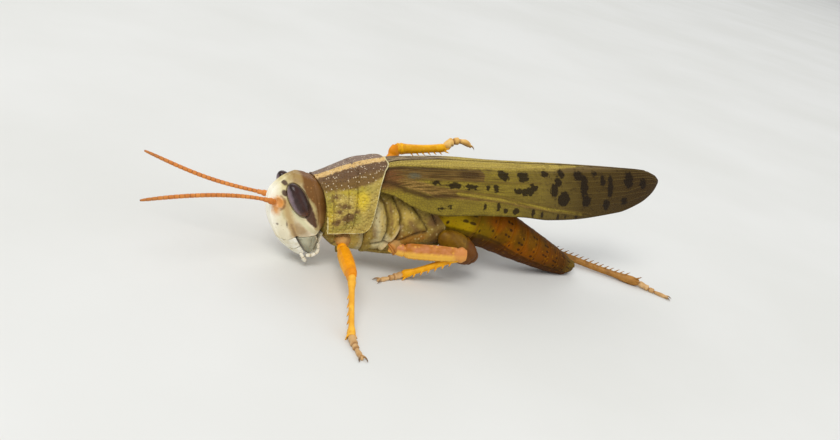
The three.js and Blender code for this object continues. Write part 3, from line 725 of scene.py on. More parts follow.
def head_finish():
    look = Finish("Face shell", "#dccfa0", "#c5b57c", tone_scale=1.1, roughness=0.42)
    look.layer("low_face", "#f2e9cd", 2.6, breakup=0.8, grain=0.9)
    # Painted highlight: near-white along the front of the face.
    look.layer("front", "#fffced", 1.2, breakup=0.5, grain=1.2, strength=0.9)
    look.layer("crown", "#97763e", 1.0, breakup=1.0, grain=1.4, strength=0.9)
    look.speckle(2.0, 0.42, "#8d6f3c", 0.5, look.mask("crown", softness=1.2, breakup=0.8), share=0.55)
    look.layer("cheek", "#a18256", 0.9, breakup=0.6, grain=1.6)
    look.layer("band", "#b89a66", 0.5, breakup=0.45, grain=2.2, strength=0.9)
    look.layer("band_low", "#7d5a3e", 0.3, breakup=0.35, grain=3.0, strength=0.75)
    look.layer("behind_eye", "#b3a06a", 0.3, breakup=0.3, grain=2.4, strength=0.9)
    look.layer("nape", "#6e420a", 0.45, breakup=0.4, grain=1.8, strength=0.95)
    look.layer("nape_low", "#94713c", 1.2, breakup=0.6, grain=1.4, strength=0.8)
    look.speckle(2.4, 0.36, "#a97a3e", 0.5, look.mask("nape", softness=0.5, breakup=0.4), share=0.45)
    # Pale stripe below the eye, partly a painted highlight.
    look.layer("under_eye", "#d3cda6", 0.25, breakup=0.3, grain=2.2, strength=0.95)
    look.layer("socket", "#d8903f", 0.5, breakup=0.5, grain=2.4, strength=0.9)
    look.layer("socket_arc", "#7d4d22", 0.25, breakup=0.3, grain=3.0, strength=0.75)
    look.speckle(2.6, 0.28, "#a58b58", 0.35, share=0.3)
    look.layer("tear", "#4a2a1d", 0.22, breakup=0.3, grain=2.6, strength=0.95)
    look.layer("spots", "#43231a", 0.16, breakup=0.12, grain=5.0, strength=0.92)
    look.layer("eye_edge", "#4a3324", 0.12, breakup=0.08, strength=0.75)
    return look.done(pits=4.5, pit_depth=0.6, wrinkles=3.5, bump=0.4)


def mouth_finish():
    look = Finish("Mouth shell", "#faf8ec", "#e4dcc0", tone_scale=1.4, roughness=0.4)
    look.speckle(2.4, 0.3, "#b9b08e", 0.35, share=0.3)
    return look.done(pits=5.0, wrinkles=4.0)


def jaw_finish():
    look = Finish("Jaw shell", "#b4b298", "#97977e", tone_scale=1.0, roughness=0.28)
    look.layer("rim", "#eadfc4", 0.35, breakup=0.2, strength=0.95)
    look.layer("bite", "#4a3a2c", 0.35, breakup=0.2)
    look.speckle(2.6, 0.3, "#6d6c58", 0.35, share=0.35)
    return look.done(coat=0.25)


def jaw_height(p):
    x, y, z = p.T
    bulge = 0.22 * ridge(np.hypot(x + 24.7, z - 2.9), 0.8)
    front_groove = to_line(x, z, [(-25.4, 3.4), (-24.2, 1.7)])
    groove = nearest(front_groove, to_line(x, z, [(-23.9, 3.6), (-23.8, 1.4)]))
    return (np.abs(y) > 0.8) * (bulge - 0.13 * ridge(groove, 0.14))


def build_head():
    blank = shaped_grid("blank", 150, 160, head_blank)
    face = cut_plate(blank, "head_capsule", HEAD_CUTS["head"], FACE_VOXEL)
    carve(face, head_height)
    head_markings(face)
    finished(face, head_finish(), "head", "head")
    mouth = mouth_finish()
    for name in ("clypeus", "labrum", "labium"):
        if name == "labium":
            blank.data.transform(Matrix.Translation((LABIUM_SHIFT * MM, 0, 0)))
        plate = cut_plate(blank, f"{name}_plate", HEAD_CUTS[name], FINE_VOXEL)
        finished(plate, mouth, "mouth", name)
    blank.data.transform(Matrix.Translation((-LABIUM_SHIFT * MM, 0, 0)))
    jaw = jaw_finish()
    for name, side in SIDES:
        half = (-20, -JAW_GAP) if side < 0 else (JAW_GAP, 20)
        plate = cut_plate(blank, f"jaw_{name}", HEAD_CUTS["mandible"], FINE_VOXEL, half)
        carve(plate, jaw_height)
        x, _, z = to_trunk(coordinates(plate)).T
        rim = to_line(x, z, [(-23.2, 3.9), (-22.8, 2.8), (-22.75, 1.5), (-23.2, 0.75)]) - 0.2
        bite = to_line(x, z, [(-26.1, 3.85), (-24.75, 1.65), (-23.8, 0.7)]) - 0.2
        paint(plate, {"rim": rim, "bite": bite})
        finished(plate, jaw, "jaw", f"mandible_{name}")
    bpy.data.objects.remove(blank)


def eye_finish(colour):
    look = Finish("Eye", colour, "#1f1210", tone_scale=0.6, roughness=0.2, shine=0.22)
    look.layer("bands", "#41241d", 0.6, breakup=0.9, grain=1.6, strength=0.7)
    # Painted highlight: lighter brown over the lower part of the eye.
    look.layer("foot", "#6b4634", 0.9, breakup=0.5, grain=1.6, strength=0.8)
    # Painted sheen: a pale lilac streak down the front of the eye.
    look.layer("pale", "#93808a", 0.45, breakup=0.35, grain=1.6, strength=0.9)
    return look.done(pits=11.0, pit_depth=1.0, wrinkles=1.0, bump=0.14, bump_mm=0.02, coat=0.18)


def build_eyes(looks):
    finish = eye_finish(tuple(looks.eye_colour))
    tilt = Matrix(TILT.tolist())
    for name, side in SIDES:
        lean = Matrix.Rotation(EYE_LEAN, 3, "Y")
        tuck = Matrix.Rotation(side * EYE_TUCK, 3, "X")
        turn = (tilt @ tuck @ lean).to_euler()
        centre = from_trunk((EYE_SEAT[0], side * EYE_SEAT[1], EYE_SEAT[2])) / MM
        eye = oval_ball(f"compound_eye_{name}", centre, EYE_BALL, turn, 40)
        x, _, z = to_trunk(coordinates(eye)).T
        paint(eye, {
            "bands": to_line(x, z, [(-26.9, 10.8), (-26.1, 9.0), (-25.2, 7.4)]) - 0.3,
            # pale: distance to the painted sheen down the front of the eye.
            "pale": to_line(x, z, [(-27.9, 10.6), (-27.25, 8.6), (-26.3, 7.2)]) - 0.22,
            # foot: height above the lower part of the eye, which gets the painted highlight.
            "foot": z - 7.6,
        })
        finished(eye, finish, "eye", f"eye_{name}")


# ---------------- pronotum
SHIELD_FRONT = curve([[4, -22.2], [7, -22.55], [10, -23.0], [11.4, -23.5], [15, -23.6]])
SHIELD_REAR = curve([[4.4, -17.9], [4.75, -17.0], [5.6, -16.4], [8.0, -16.05], [10.8, -15.7], [12.5, -14.8],
                     [13.3, -13.6], [15, -13.4]])
SHIELD_RIDGE = curve([[-23.6, 10.95], [-21.5, 11.6], [-19.5, 12.25], [-16.3, 12.95], [-13.2, 13.3]])
SHIELD_BOXINESS = curve([[-23.6, 2.6], [-20, 3.1], [-17, 3.9], [-15, 3.4], [-13.2, 2.8]])
SHIELD_HALF_WIDTH = curve([[-23.6, 3.75], [-20, 4.0], [-16.5, 4.4], [-13.2, 4.3]])
DISC_EDGE = curve([[-23.6, 10.05], [-22.1, 10.15], [-20.9, 10.4], [-19.4, 10.6], [-18.5, 10.9], [-16.8, 11.5],
                   [-15.5, 12.05], [-13.2, 12.5]])
SHIELD_ENDS = (-23.6, -13.2)
# About its length, which turns shares into millimetres.
SHIELD_LENGTH = 8.0
SHIELD_LOW = 4.45
SHIELD_THICKNESS = 0.32
# The share of the sheet, from the ridge down, that follows the rounded upper part.
SHIELD_ROUND = 0.76
# The cross grooves: their places as shares of the length, and how deep they are.
SULCI = (0.14, 0.44, 0.6)
SULCUS_DEPTHS = (0.10, 0.12, 0.17)


def shield_place(u, v):
    down = np.abs(2 * v - 1)
    side = np.sign(2 * v - 1)
    x = lerp(*SHIELD_ENDS, u)
    # The ends slope, so the place along the trunk and the height are settled together.
    for _ in range(4):
        top, wide = SHIELD_RIDGE(x), SHIELD_HALF_WIDTH(x)
        shoulder = lerp(SHIELD_LOW, top, 0.3)
        a = pi / 2 * np.clip(down / SHIELD_ROUND, 0, 1)
        below = np.clip((down - SHIELD_ROUND) / (1 - SHIELD_ROUND), 0, 1)
        boxy = SHIELD_BOXINESS(x)
        y = wide * power(np.sin(a), boxy) * (1 - 0.03 * below ** 2)
        z = shoulder + (top - shoulder) * power(np.cos(a), boxy) - (shoulder - SHIELD_LOW) * below
        x = lerp(SHIELD_FRONT(z), SHIELD_REAR(z), u)
    points = np.stack([x, side * y, z], -1)
    edge = nearest(u * SHIELD_LENGTH, (1 - u) * SHIELD_LENGTH, (1 - down) * 11.0)
    lobe = step(down, 0.42, 0.5)
    furrows = sum(ridge((u - at) * SHIELD_LENGTH, 0.11) * depth for at, depth in zip(SULCI, SULCUS_DEPTHS))
    furrows *= lerp(step(u, 0.5, 0.56), 1, lobe) * (1 - step(down, 0.93, 0.97))
    keel = 0.24 * ridge(y, 0.15) * (1 - 0.6 * ridge((u - SULCI[2]) * SHIELD_LENGTH, 0.12)) * (down < 0.3)
    lip = 0.12 * ridge(edge - 0.12, 0.14)
    swell = 0.12 * ridge(u - 0.3, 0.12) * lobe + 0.12 * ridge(u - 0.8, 0.16) * lobe
    lift = keel + lip + swell - furrows
    outward = np.stack([0 * x, side * np.sin(a) ** 2, np.cos(a) ** 2 + 1e-6], -1)
    outward /= np.linalg.norm(outward, axis=1)[:, None]
    fields = {
        "stripe": np.abs(side * y + 0.25) - 0.5 + 20 * (z < 10),
        "edge": edge - 0.14 + 0.5 * (u < 0.15) * step(z, 6.4, 8.2),
        "far_disc": np.maximum(0.2 - side * y, DISC_EDGE(x) - z),
        "disc": DISC_EDGE(x) - z,
        "dark": np.maximum(y - 2.75, lerp(10.85, 12.3, u) - z),
        "patches": to_ovals(x, z, ((-19.7, 10.35), (0.95, 0.4), -8), ((-22.1, 7.6), (0.35, 1.7)),
                            ((-18.1, 9.5), (0.9, 1.5), 10)),
        "blotches": to_ovals(x, z, ((-21.7, 9.5), (0.7, 0.4), 20), ((-20.4, 8.4), (1.0, 0.34), -12),
                             ((-19.7, 6.7), (1.0, 0.6), 28), ((-21.1, 6.2), (0.7, 0.45), 20),
                             ((-18.9, 7.4), (0.5, 0.25), 35), ((-21.0, 7.6), (0.5, 0.22), -10)),
        "green": to_ovals(x, z, ((-20.6, 5.3), (1.6, 0.5), 10), ((-22.4, 8.9), (0.6, 1.3)),
                          ((-18.9, 6.4), (1.2, 0.9)), ((-18.4, 10.6), (1.6, 0.4), 10)),
        "furrow": nearest(*[np.abs(u - at) * SHIELD_LENGTH for at in SULCI]) - 0.07 + (down < 0.45),
    }
    return from_trunk(points + outward * lift[:, None]), fields


def shield_finish():
    look = Finish("Pronotum shell", "#c2aa58", "#a58d42", tone_scale=0.9, roughness=0.5)
    look.layer("patches", "#dabd2c", 0.8, breakup=0.9, grain=1.3, strength=0.8)
    look.layer("green", "#918636", 0.9, breakup=1.2, grain=1.0, strength=0.7)
    look.layer("blotches", "#5f4026", 0.35, breakup=1.1, grain=1.7)
    look.speckle(2.3, 0.34, "#7a6028", 0.5, share=0.4)
    # Pale granules; their pale dots are partly painted glints on the grain.
    look.speckle(3.0, 0.3, "#ecdb96", 0.55, share=0.4)
    look.layer("disc", "#6e5026", 0.45, breakup=0.6, grain=1.8, strength=0.95)
    look.layer("dark", "#664a30", 0.6, breakup=1.5, grain=3.0, strength=0.9)
    look.layer("far_disc", "#8f7a6c", 0.6, breakup=0.8, grain=2.4, strength=0.8)
    top = look.mask("disc", softness=0.5, breakup=0.6)
    look.speckle(3.6, 0.36, "#3a2818", 0.65, top, share=0.45)
    look.layer("stripe", "#e4be7c", 0.4, breakup=1.1, grain=3.0, strength=0.92)
    look.speckle(3.3, 0.36, "#e8d4b4", 0.75, top, share=0.4)
    look.speckle(2.9, 0.34, "#8a5524", 0.6, look.mask("stripe", softness=0.3, breakup=0.4), share=0.45)
    look.layer("furrow", "#5b4420", 0.2, breakup=0.25, grain=2.5, strength=0.4)
    look.layer("edge", "#e3d7a4", 0.1, breakup=0.16, grain=3.0)
    return look.done(pits=3.0, pit_depth=2.2, wrinkles=2.5, bump=1.0, bump_mm=0.13)


def thicken(obj, thickness):
    modify(obj, "SOLIDIFY", thickness=thickness * MM, offset=-1, use_even_offset=True)


def build_pronotum():
    shield = shaped_grid("pronotum_shield", 150, 240, shield_place, closed=False)
    outwards(shield, (0, 0, 1))
    thicken(shield, SHIELD_THICKNESS)
    finished(shield, shield_finish(), "shield", "pronotum")


def outwards(sheet, way):
    """Turns an open sheet so that its faces look, on the whole, the given way."""
    normals = np.empty(len(sheet.data.polygons) * 3, np.float32)
    sheet.data.polygon_normals.foreach_get("vector", normals)
    if (normals.reshape(-1, 3) @ np.array(way)).sum() < 0:
        pick(sheet)
        bpy.ops.object.mode_set(mode="EDIT")
        bpy.ops.mesh.select_all(action="SELECT")
        bpy.ops.mesh.flip_normals()
        bpy.ops.object.mode_set(mode="OBJECT")


# ---------------- thorax
THORAX_ENDS = (-16.6, -4.9)
THORAX_ROOF = curve([[-16.6, 11.3], [-10, 11.1], [-4.2, 9.6]])
THORAX_FLOOR = curve([[-16.6, 0.6], [-11, -0.1], [-4.2, 0.5]])
THORAX_HALF_WIDTH = curve([[-16.6, 3.9], [-11, 4.2], [-7.0, 3.95], [-5.6, 3.6], [-4.8, 3.3]])
NECK_ENDS = (-22.0, -16.9)
NECK_FLOOR = curve([[-22.0, 3.0], [-20, 1.2], [-16.9, 0.5]])
# Place, height and radius of the throat spur, from its root to its tip.
SPUR = ((-18.6, 1.3, 0.75), (-18.7, 0.7, 0.55), (-18.9, 0.1, 0.34), (-19.0, -0.3, 0.12))
# The grooves between the plates of the thorax and the raised rib on its side, in the side view.
SUTURES = (
    [(-15.9, 8.9), (-14.9, 9.0), (-14.2, 8.0), (-13.75, 6.2), (-13.8, 4.6), (-14.3, 3.1)],
    [(-12.9, 8.8), (-12.3, 7.4), (-11.9, 6.4), (-12.0, 4.9), (-12.5, 3.1)],
    [(-10.6, 8.2), (-9.9, 7.2), (-9.1, 6.2), (-8.1, 4.9), (-7.7, 4.1)],
    [(-7.6, 7.6), (-6.9, 6.0), (-6.4, 5.0)],
    [(-15.9, 2.6), (-14.3, 2.9), (-12.4, 2.9), (-11.0, 3.6), (-9.3, 3.9), (-7.8, 4.0)],
    [(-15.7, 1.5), (-13.3, 1.2), (-10.5, 1.1), (-8.2, 1.6), (-5.0, 1.7)],
)
RIB = [(-12.0, 5.0), (-13.0, 3.6), (-14.3, 2.0)]


def trunk_section(u, v, ends, floor, roof, half_width, waist, upper, lower):
    """A closed part of the trunk; waist is the level of its widest line, upper and lower its roundness."""
    x = lerp(*ends, np.clip((u - CAP) / (1 - 2 * CAP), 0, 1))
    inner = between_poles(u)
    a = 2 * pi * v
    middle = lerp(floor(x), roof(x), waist)
    above = np.cos(a) > 0
    roundness = np.where(above, upper, lower)
    reach = np.where(above, roof(x) - middle, middle - floor(x))
    y = half_width(x) * power(np.sin(a), roundness)
    return np.stack([x, inner * y, middle + inner * reach * power(np.cos(a), roundness)], -1)


def to_sutures(x, z):
    return nearest(*[to_line(x, z, line) for line in SUTURES])


def thorax_height(p):
    x, y, z = p.T
    side = step(np.abs(y), 1.6, 2.6)
    gap = to_sutures(x, z)
    plates = 0.4 * (1 - np.exp(-gap / 0.7)) - 0.22 * ridge(gap, 0.14)
    oval = 0.22 * ridge(np.minimum(to_oval(x, z, (-15.1, 5.9), (0.8, 2.3), 4) + 0.5, 0.6), 0.5)
    lobes = 0.3 * ridge(np.hypot(x + 11.2, (z - 3.9) * 1.1), 0.9)
    lobes += 0.2 * ridge(np.hypot(x + 10.2, z - 6.4), 1.1)
    rib = to_line(x, z, RIB)
    raised = 0.34 * ridge(rib, 0.22) - 0.16 * ridge(rib - 0.45, 0.13)
    middle_fold = -0.12 * ridge(np.abs(y), 0.25) * (z < 3)
    return side * (plates + oval + lobes + raised) + middle_fold


def trunk_piece(name, columns, rows, *section):
    return shaped_grid(name, columns, rows, lambda u, v: from_trunk(trunk_section(u, v, *section)))


def thorax_finish():
    shell = Finish("Thorax shell", "#a0883e", "#80682c", tone_scale=0.9, roughness=0.5, shine=0.15)
    shell.layer("under", "#95803f", 1.2, breakup=0.8, grain=1.2, strength=0.5)
    shell.layer("pale", "#bfb286", 0.6, breakup=0.7, grain=1.5)
    shell.layer("gold", "#bda04e", 0.6, breakup=0.8, grain=1.4, strength=0.8)
    shell.layer("lobes", "#8c5a18", 0.8, breakup=0.7, grain=1.3)
    shell.layer("rear", "#6a4a22", 1.0, breakup=0.8, grain=1.3, strength=0.75)
    shell.layer("streaks", "#6f5030", 0.5, breakup=0.8, grain=1.6, strength=0.7)
    shell.speckle(2.0, 0.36, "#6a5028", 0.55, share=0.4)
    shell.speckle(2.2, 0.4, "#cbb880", 0.4, share=0.35)
    shell.layer("rib", "#c4ab7c", 0.3, breakup=0.4, grain=2.4)
    # Dark sutures between the plates, with painted shade in their grooves.
    shell.layer("seam", "#3a2612", 0.3, breakup=0.3, grain=2.5)
    return shell.done(pits=2.6, pit_depth=1.2, wrinkles=2.0, bump=0.85, bump_mm=0.12)


def build_thorax():
    body = trunk_piece("thorax_plates", 150, 170, THORAX_ENDS, THORAX_FLOOR, THORAX_ROOF, THORAX_HALF_WIDTH,
                       0.34, 1.5, 2.4)
    carve(body, thorax_height)
    x, y, z = to_trunk(coordinates(body)).T
    paint(body, {
        # seam: distance to the sutures, dark lines that also hold painted shade in the grooves.
        "seam": np.where(np.abs(y) > 1.5, to_sutures(x, z) - 0.1, 1),
        "streaks": nearest(to_line(x, z, [(-13.5, 8.0), (-13.2, 6.0), (-13.3, 4.2)]) - 0.15,
                           to_line(x, z, [(-10.6, 5.6), (-9.9, 4.6), (-9.2, 4.2)]) - 0.35,
                           to_line(x, z, [(-11.7, 5.2), (-12.3, 3.6), (-12.6, 2.6)]) - 0.25,
                           to_ovals(x, z, ((-15.7, 4.4), (0.3, 0.9), 12), ((-7.0, 5.4), (0.9, 0.8)))),
        "pale": to_ovals(x, z, ((-15.1, 5.4), (0.85, 2.8), 4), ((-14.6, 3.0), (1.3, 1.2))),
        "gold": to_ovals(x, z, ((-14.7, 5.9), (0.3, 1.7), 4), ((-12.7, 5.8), (0.4, 1.7), -6),
                         ((-10.8, 6.7), (0.8, 1.3), 10), ((-7.9, 7.3), (0.9, 0.7))),
        "lobes": to_ovals(x, z, ((-10.9, 3.3), (1.5, 0.8)), ((-8.6, 3.4), (0.9, 0.6))),
        "rear": to_ovals(x, z, ((-5.9, 3.0), (1.7, 1.5)), ((-6.2, 5.3), (1.2, 0.9))),
        "rib": to_line(x, z, RIB) - 0.2,
        "under": z - 2.6,
    })
    finish = thorax_finish()
    finished(body, finish, "thorax", "thorax")

    neck = trunk_piece("prosternum", 60, 90, NECK_ENDS, NECK_FLOOR, lambda x: 0 * x + SHIELD_LOW + 0.6,
                       lambda x: 3.45 * lerp(0.8, 1, (x + 22) / 5.1), 0.6, 6, 2.2)
    spur = drawn_out("spur", [(from_trunk((x, 0, z)) / MM, radius) for x, z, radius in SPUR])
    skin = trunk_piece("neck_skin", 24, 90, (-22.3, -19.6), lambda x: 0 * x + 3.3,
                       lambda x: 10.85 + 0.33 * (x + 22.3), lambda x: 0 * x + 3.28, 0.45, 2.3, 2.3)
    neck = joined("prosternum", [neck, spur, skin])
    x, _, z = to_trunk(coordinates(neck)).T
    away = dict.fromkeys(("streaks", "lobes", "rib", "rear"), 0 * x + 2)
    paint(neck, {
        # seam: a suture on the neck plate, dark, with painted shade in its groove.
        "seam": to_line(x, z, [(-20.9, 5), (-20.6, 3), (-20.8, 1.4)]) - 0.1,
        "under": z - 2.0,
        "gold": to_oval(x, z, (-19.1, 3.0), (1.8, 2.0)),
        "pale": np.abs(x + 17.2) - 0.5,
        **away,
    })
    finished(neck, finish, "thorax", "prothorax")


# ---------------- abdomen
ABDOMEN_AXIS = [(-3.2, 4.9), (3, 2.85), (10, -0.75), (16, -3.85), (19.7, -5.75)]
ABDOMEN_HALF_DEPTH = curve([[0, 4.25], [0.28, 3.5], [0.58, 2.85], [0.85, 2.1], [1, 1.5]])
ABDOMEN_HALF_WIDTH = curve([[0, 3.7], [0.28, 3.5], [0.58, 3.05], [0.85, 2.3], [1, 1.6]])
SEGMENT_ENDS = (0.03, 0.15, 0.28, 0.405, 0.525, 0.64, 0.75, 0.85, 0.925, 0.985)
FOLD = curve([[0, 0.575], [0.3, 0.59], [0.5, 0.63], [0.7, 0.65], [1, 0.61]])
FLOOR_SKIN = 0.02
# About the length of the abdomen and half its girth, which turn shares into millimetres.
ABDOMEN_LENGTH = 27.5
HALF_GIRTH = 9.5


def spline_through(points, samples=400):
    """A smooth line through side-view points, read by its share of the length, and its direction."""
    points = np.array(points, float)
    rows = []
    for t in np.linspace(0, len(points) - 1, samples):
        i = min(int(t), len(points) - 2)
        w = t - i
        p0, p1 = points[max(i - 1, 0)], points[i]
        p2, p3 = points[i + 1], points[min(i + 2, len(points) - 1)]
        rows.append(0.5 * (2 * p1 + (p2 - p0) * w + (2 * p0 - 5 * p1 + 4 * p2 - p3) * w ** 2
                           + (3 * p1 - p0 - 3 * p2 + p3) * w ** 3))
    rows = np.array(rows)
    gone = np.r_[0, np.cumsum(np.hypot(*np.diff(rows, axis=0).T))]
    share = gone / gone[-1]

    def at(t):
        return np.stack([np.interp(t, share, rows[:, k]) for k in (0, 1)], -1)

    def read(t):
        inside = np.clip(t, 0.01, 0.99)
        way = at(inside + 0.01) - at(inside - 0.01)
        before = np.minimum(t, 0)[..., None] * (rows[1] - rows[0]) / share[1]
        return at(t) + before, way / np.linalg.norm(way, axis=-1)[..., None]

    return read


ABDOMEN_LINE = spline_through(ABDOMEN_AXIS)


def abdomen_ring(t, turn, shrink):
    here, way = ABDOMEN_LINE(t)
    high = ABDOMEN_HALF_DEPTH(t) * shrink * power(np.cos(turn), np.where(np.cos(turn) > 0, 1.8, 2.1))
    wide = ABDOMEN_HALF_WIDTH(t) * shrink * np.sin(turn)
    return np.stack([here[:, 0] - way[:, 1] * high, wide, here[:, 1] + way[:, 0] * high], -1)


def on_the_floor(points):
    """Part points in metres, with nothing below the floor."""
    points[:, 2] = np.maximum(points[:, 2], FLOOR_SKIN * MM)
    return points


# The rows of dots on a ring: their share of its length, their start and their spacing.
DOT_ROWS = ((0.84, 0.2, 1.0), (0.66, 0.55, 1.9))


def abdomen_segment(number):
    """One ring, which slides under the ring in front of it and has a side fold and a breathing hole."""
    start, end = SEGMENT_ENDS[number], SEGMENT_ENDS[number + 1]
    length = (end - start) * ABDOMEN_LENGTH

    def place(u, v):
        s = np.clip((u - 0.03) / 0.94, 0, 1)
        turn = 2 * pi * v
        t = lerp(start - (0.15 if number == 0 else 0.012), end + 0.004, s)
        down = from_top(turn) / pi
        tucked = 0.955 + 0.05 * step(s, 0.0, 0.3) + 0.012 * ridge(s - 0.93, 0.06)
        tucked -= 0.03 * step(s, 0.965, 1.0)
        crease = down - FOLD(t)
        fold = -0.035 * ridge(crease, 0.012) + 0.012 * ridge(crease - 0.03, 0.02)
        pinch = 0.006 * np.sin(s * 9) * step(down, 0.1, 0.4)
        points = abdomen_ring(t, turn, between_poles(u) * (tucked + fold + pinch))
        rows = [to_oval((s - at) * length, np.mod(down * HALF_GIRTH + shift, gap), (0, gap / 2), (0.17, 0.19))
                for at, shift, gap in DOT_ROWS]
        dots = nearest(*rows) + 0.12 * np.sin(turn * 23 + number * 2.1)
        shade = 0.35 * np.sin(9 * t + 9.2 * down) * ridge(down - 0.4, 0.25)
        fields = {
            "dots": dots + 3 * (crease > -0.05) + 3 * (down < 0.16),
            "along": t,
            "warm": shade + 0.1 - np.abs(s - 0.62) * 0.9,
            "fold": np.abs(crease - 0.01) * HALF_GIRTH - 0.14,
            "spiracle": to_oval((s - 0.25) * length, (crease + 0.055) * HALF_GIRTH, (0, 0), (0.12, 0.2)),
            "rear_edge": (0.93 - s) * length,
            "belly": (0.02 - crease) * HALF_GIRTH,
            "front_edge": s * length - 0.35,
            "yellow": (t - 0.19 - 0.1 * step(down, 0.36, 0.5)) * ABDOMEN_LENGTH,
        }
        return on_the_floor(from_trunk(points)), fields

    return shaped_grid(f"abdomen_ring_{number + 1}", 44, 150, place)


def abdomen_finish():
    # The dark orange-brown base is the abdomen's own colour, deepened partly as painted shade of the wings.
    look = Finish("Abdomen shell", "#7a4e00", "#5a3a00", tone_scale=0.6, roughness=0.5, shine=0.05)
    look.layer("warm", "#8c4c00", 0.35, breakup=0.35, grain=0.9)
    look.layer("yellow", "#765c04", 3.2, breakup=2.4, grain=0.5, strength=0.92)
    look.layer(look.math("ADD", look.field("yellow"), 4.3), "#ae8e08", 2.4, breakup=2.0, grain=0.6,
               strength=0.9)
    # Darker brown rear rings: partly their own colour, partly painted shade under the wings.
    rear = look.math("SUBTRACT", 0.7, look.field("along"))
    look.layer(rear, "#442702", 0.45, breakup=0.2, grain=0.7, strength=0.9)
    tail = look.math("SUBTRACT", 0.97, look.field("along"))
    look.layer(tail, "#6e5a22", 0.1, breakup=0.06, grain=0.9, strength=0.8)
    look.layer("belly", "#472504", 0.6, breakup=0.5, grain=1.2, strength=0.88)
    look.speckle(2.0, 0.36, "#a06c00", 0.4, share=0.45)
    look.speckle(2.6, 0.32, "#4e2f03", 0.5, share=0.4)
    look.layer("rear_edge", "#875000", 0.3, breakup=0.3, grain=2.5, strength=0.4)
    look.layer("front_edge", "#4c3008", 0.6, breakup=0.4, grain=1.6, strength=0.7)
    look.layer("fold", "#33200c", 0.4, breakup=0.3)
    look.layer("spiracle", "#20120a", 0.1, breakup=0.03, strength=0.9)
    look.layer("dots", "#2b1a0a", 0.14, breakup=0.2)
    return look.done(pits=5.0, pit_depth=0.6, bump=0.5, bump_mm=0.07)


def abdomen_end(u, v):
    """The last plates: a blunt cone with a notch between the upper and the lower valve."""
    s = np.clip((u - 0.03) / 0.94, 0, 1)
    turn = 2 * pi * v
    t = lerp(0.972, 1.0, step(s, 0, 0.5))
    past = np.clip((s - 0.5) / 0.5, 0, 1)
    shrink = lerp(0.88, 0.8, s) * np.sqrt(np.clip(1 - 0.72 * past ** 2, 0, 1))
    mouth = -0.18 * ridge(np.abs(np.cos(turn)), 0.22) * step(s, 0.35, 0.9)
    points = abdomen_ring(t, turn, between_poles(u) * (shrink + mouth))
    points[:, 0] += 1.5 * past
    points[:, 2] -= 0.15 * past
    down = from_top(turn) / pi
    fields = dict.fromkeys(("dots", "along", "spiracle", "rear_edge", "warm"), 0 * u + 1)
    fields["fold"] = np.abs(down - 0.5) * 5 - 0.12 + (s < 0.3)
    fields["belly"] = (0.61 - down) * 5
    fields["front_edge"] = s * 2.2 - 0.2
    fields["yellow"] = 0 * u + 9
    return on_the_floor(from_trunk(points)), fields


def build_abdomen():
    finish = abdomen_finish()
    for number in range(len(SEGMENT_ENDS) - 1):
        finished(abdomen_segment(number), finish, "abdomen", f"abdomen_{number + 1}")
    finished(shaped_grid("abdomen_end", 40, 110, abdomen_end), finish, "abdomen", "abdomen_tip")
    for name, side in SIDES:
        node = f"cercus_{name}"
        root, tip = np.array((18.95, side * 1.05, -4.85)), np.array((20.75, side * 1.5, -5.3))
        steps = [(from_trunk(lerp(root, tip, t) + np.array((0, side * 0.15 * sin(pi * t), 0))) / MM, r)
                 for t, r in ((0.0, 0.34), (0.25, 0.37), (0.5, 0.3), (0.75, 0.22), (0.95, 0.1))]
        cercus = drawn_out(f"cercus_cone_{name}", steps, 16)
        round_off(cercus)
        ones = np.ones(len(cercus.data.vertices))
        markings = ("dots", "fold", "spiracle", "rear_edge", "front_edge", "warm", "yellow")
        paint(cercus, {"along": ones, "belly": ones, **dict.fromkeys(markings, ones * 9)})
        finished(cercus, finish, "abdomen", node)


# ---------------- wings
WING_ENDS = (-15.4, 33.8)
WING_TOP = curve([[-15.4, 11.9], [-13.6, 12.6], [-11, 12.95], [-6.8, 12.95], [1.2, 12.4], [7, 11.95],
                  [14.9, 11.4], [26, 10.35], [31, 9.7], [33, 9.0], [33.8, 8.3]])
WING_LOW = curve([[-15.4, 10.1], [-13.6, 9.6], [-11, 8.2], [-8.2, 7.1], [-5.2, 6.5], [-2.0, 6.4],
                  [6.7, 5.5], [12, 4.5], [20, 3.85], [26, 3.95], [30, 4.95], [32.6, 6.4], [33.8, 7.7]])
WING_HALF_WIDTH = curve([[-15.4, 3.5], [-13.6, 3.9], [-9, 4.75], [0, 4.75], [10, 4.2], [20, 2.8],
                         [27, 1.75], [31, 1.2], [33, 0.65], [33.8, 0.2]])
WING_THICKNESS = 0.14
HINDWING_ENDS = (-10.5, 29.5)
HINDWING_INSET = 1.05
HINDWING_THICKNESS = 0.1
HINDWING_PLEATS = 9

# Places on a wing are (x, d): x along the trunk in millimetres, d from 0 on the ridge to 1 on the lower
# edge, which is about WING_DEPTH away. A vein is its line and its weight, a spot its place and radii.
WING_DEPTH = 9
STRIPE_EDGE = curve([[-13, 0.22], [-9.3, 0.243], [-3.6, 0.285], [2.7, 0.275], [9.3, 0.255], [16, 0.275],
                     [20, 0.24], [27, 0.15], [33.8, 0.05]])
BAND_TOP = curve([[-13, 0.3], [-6, 0.33], [3, 0.3], [14, 0.3]])
BAND_LOW = curve([[-13, 0.56], [-11.5, 0.55], [-8.3, 0.5], [-3.3, 0.515], [0.7, 0.52], [8, 0.5]])
UPPER_PAIR = [(-12.8, 0.56), (-10.2, 0.575), (-4.3, 0.682), (1.8, 0.747), (8.4, 0.835), (16, 0.92),
              (20.1, 0.97)]
LOWER_PAIR = [(-13.0, 0.61), (-7.2, 0.715), (-1.3, 0.785), (5, 0.852), (12.2, 0.925), (19.3, 0.985)]
MIDDLE_VEIN = [(-13.0, 0.45), (-8, 0.52), (0, 0.53), (10, 0.52), (22, 0.49), (33, 0.45)]
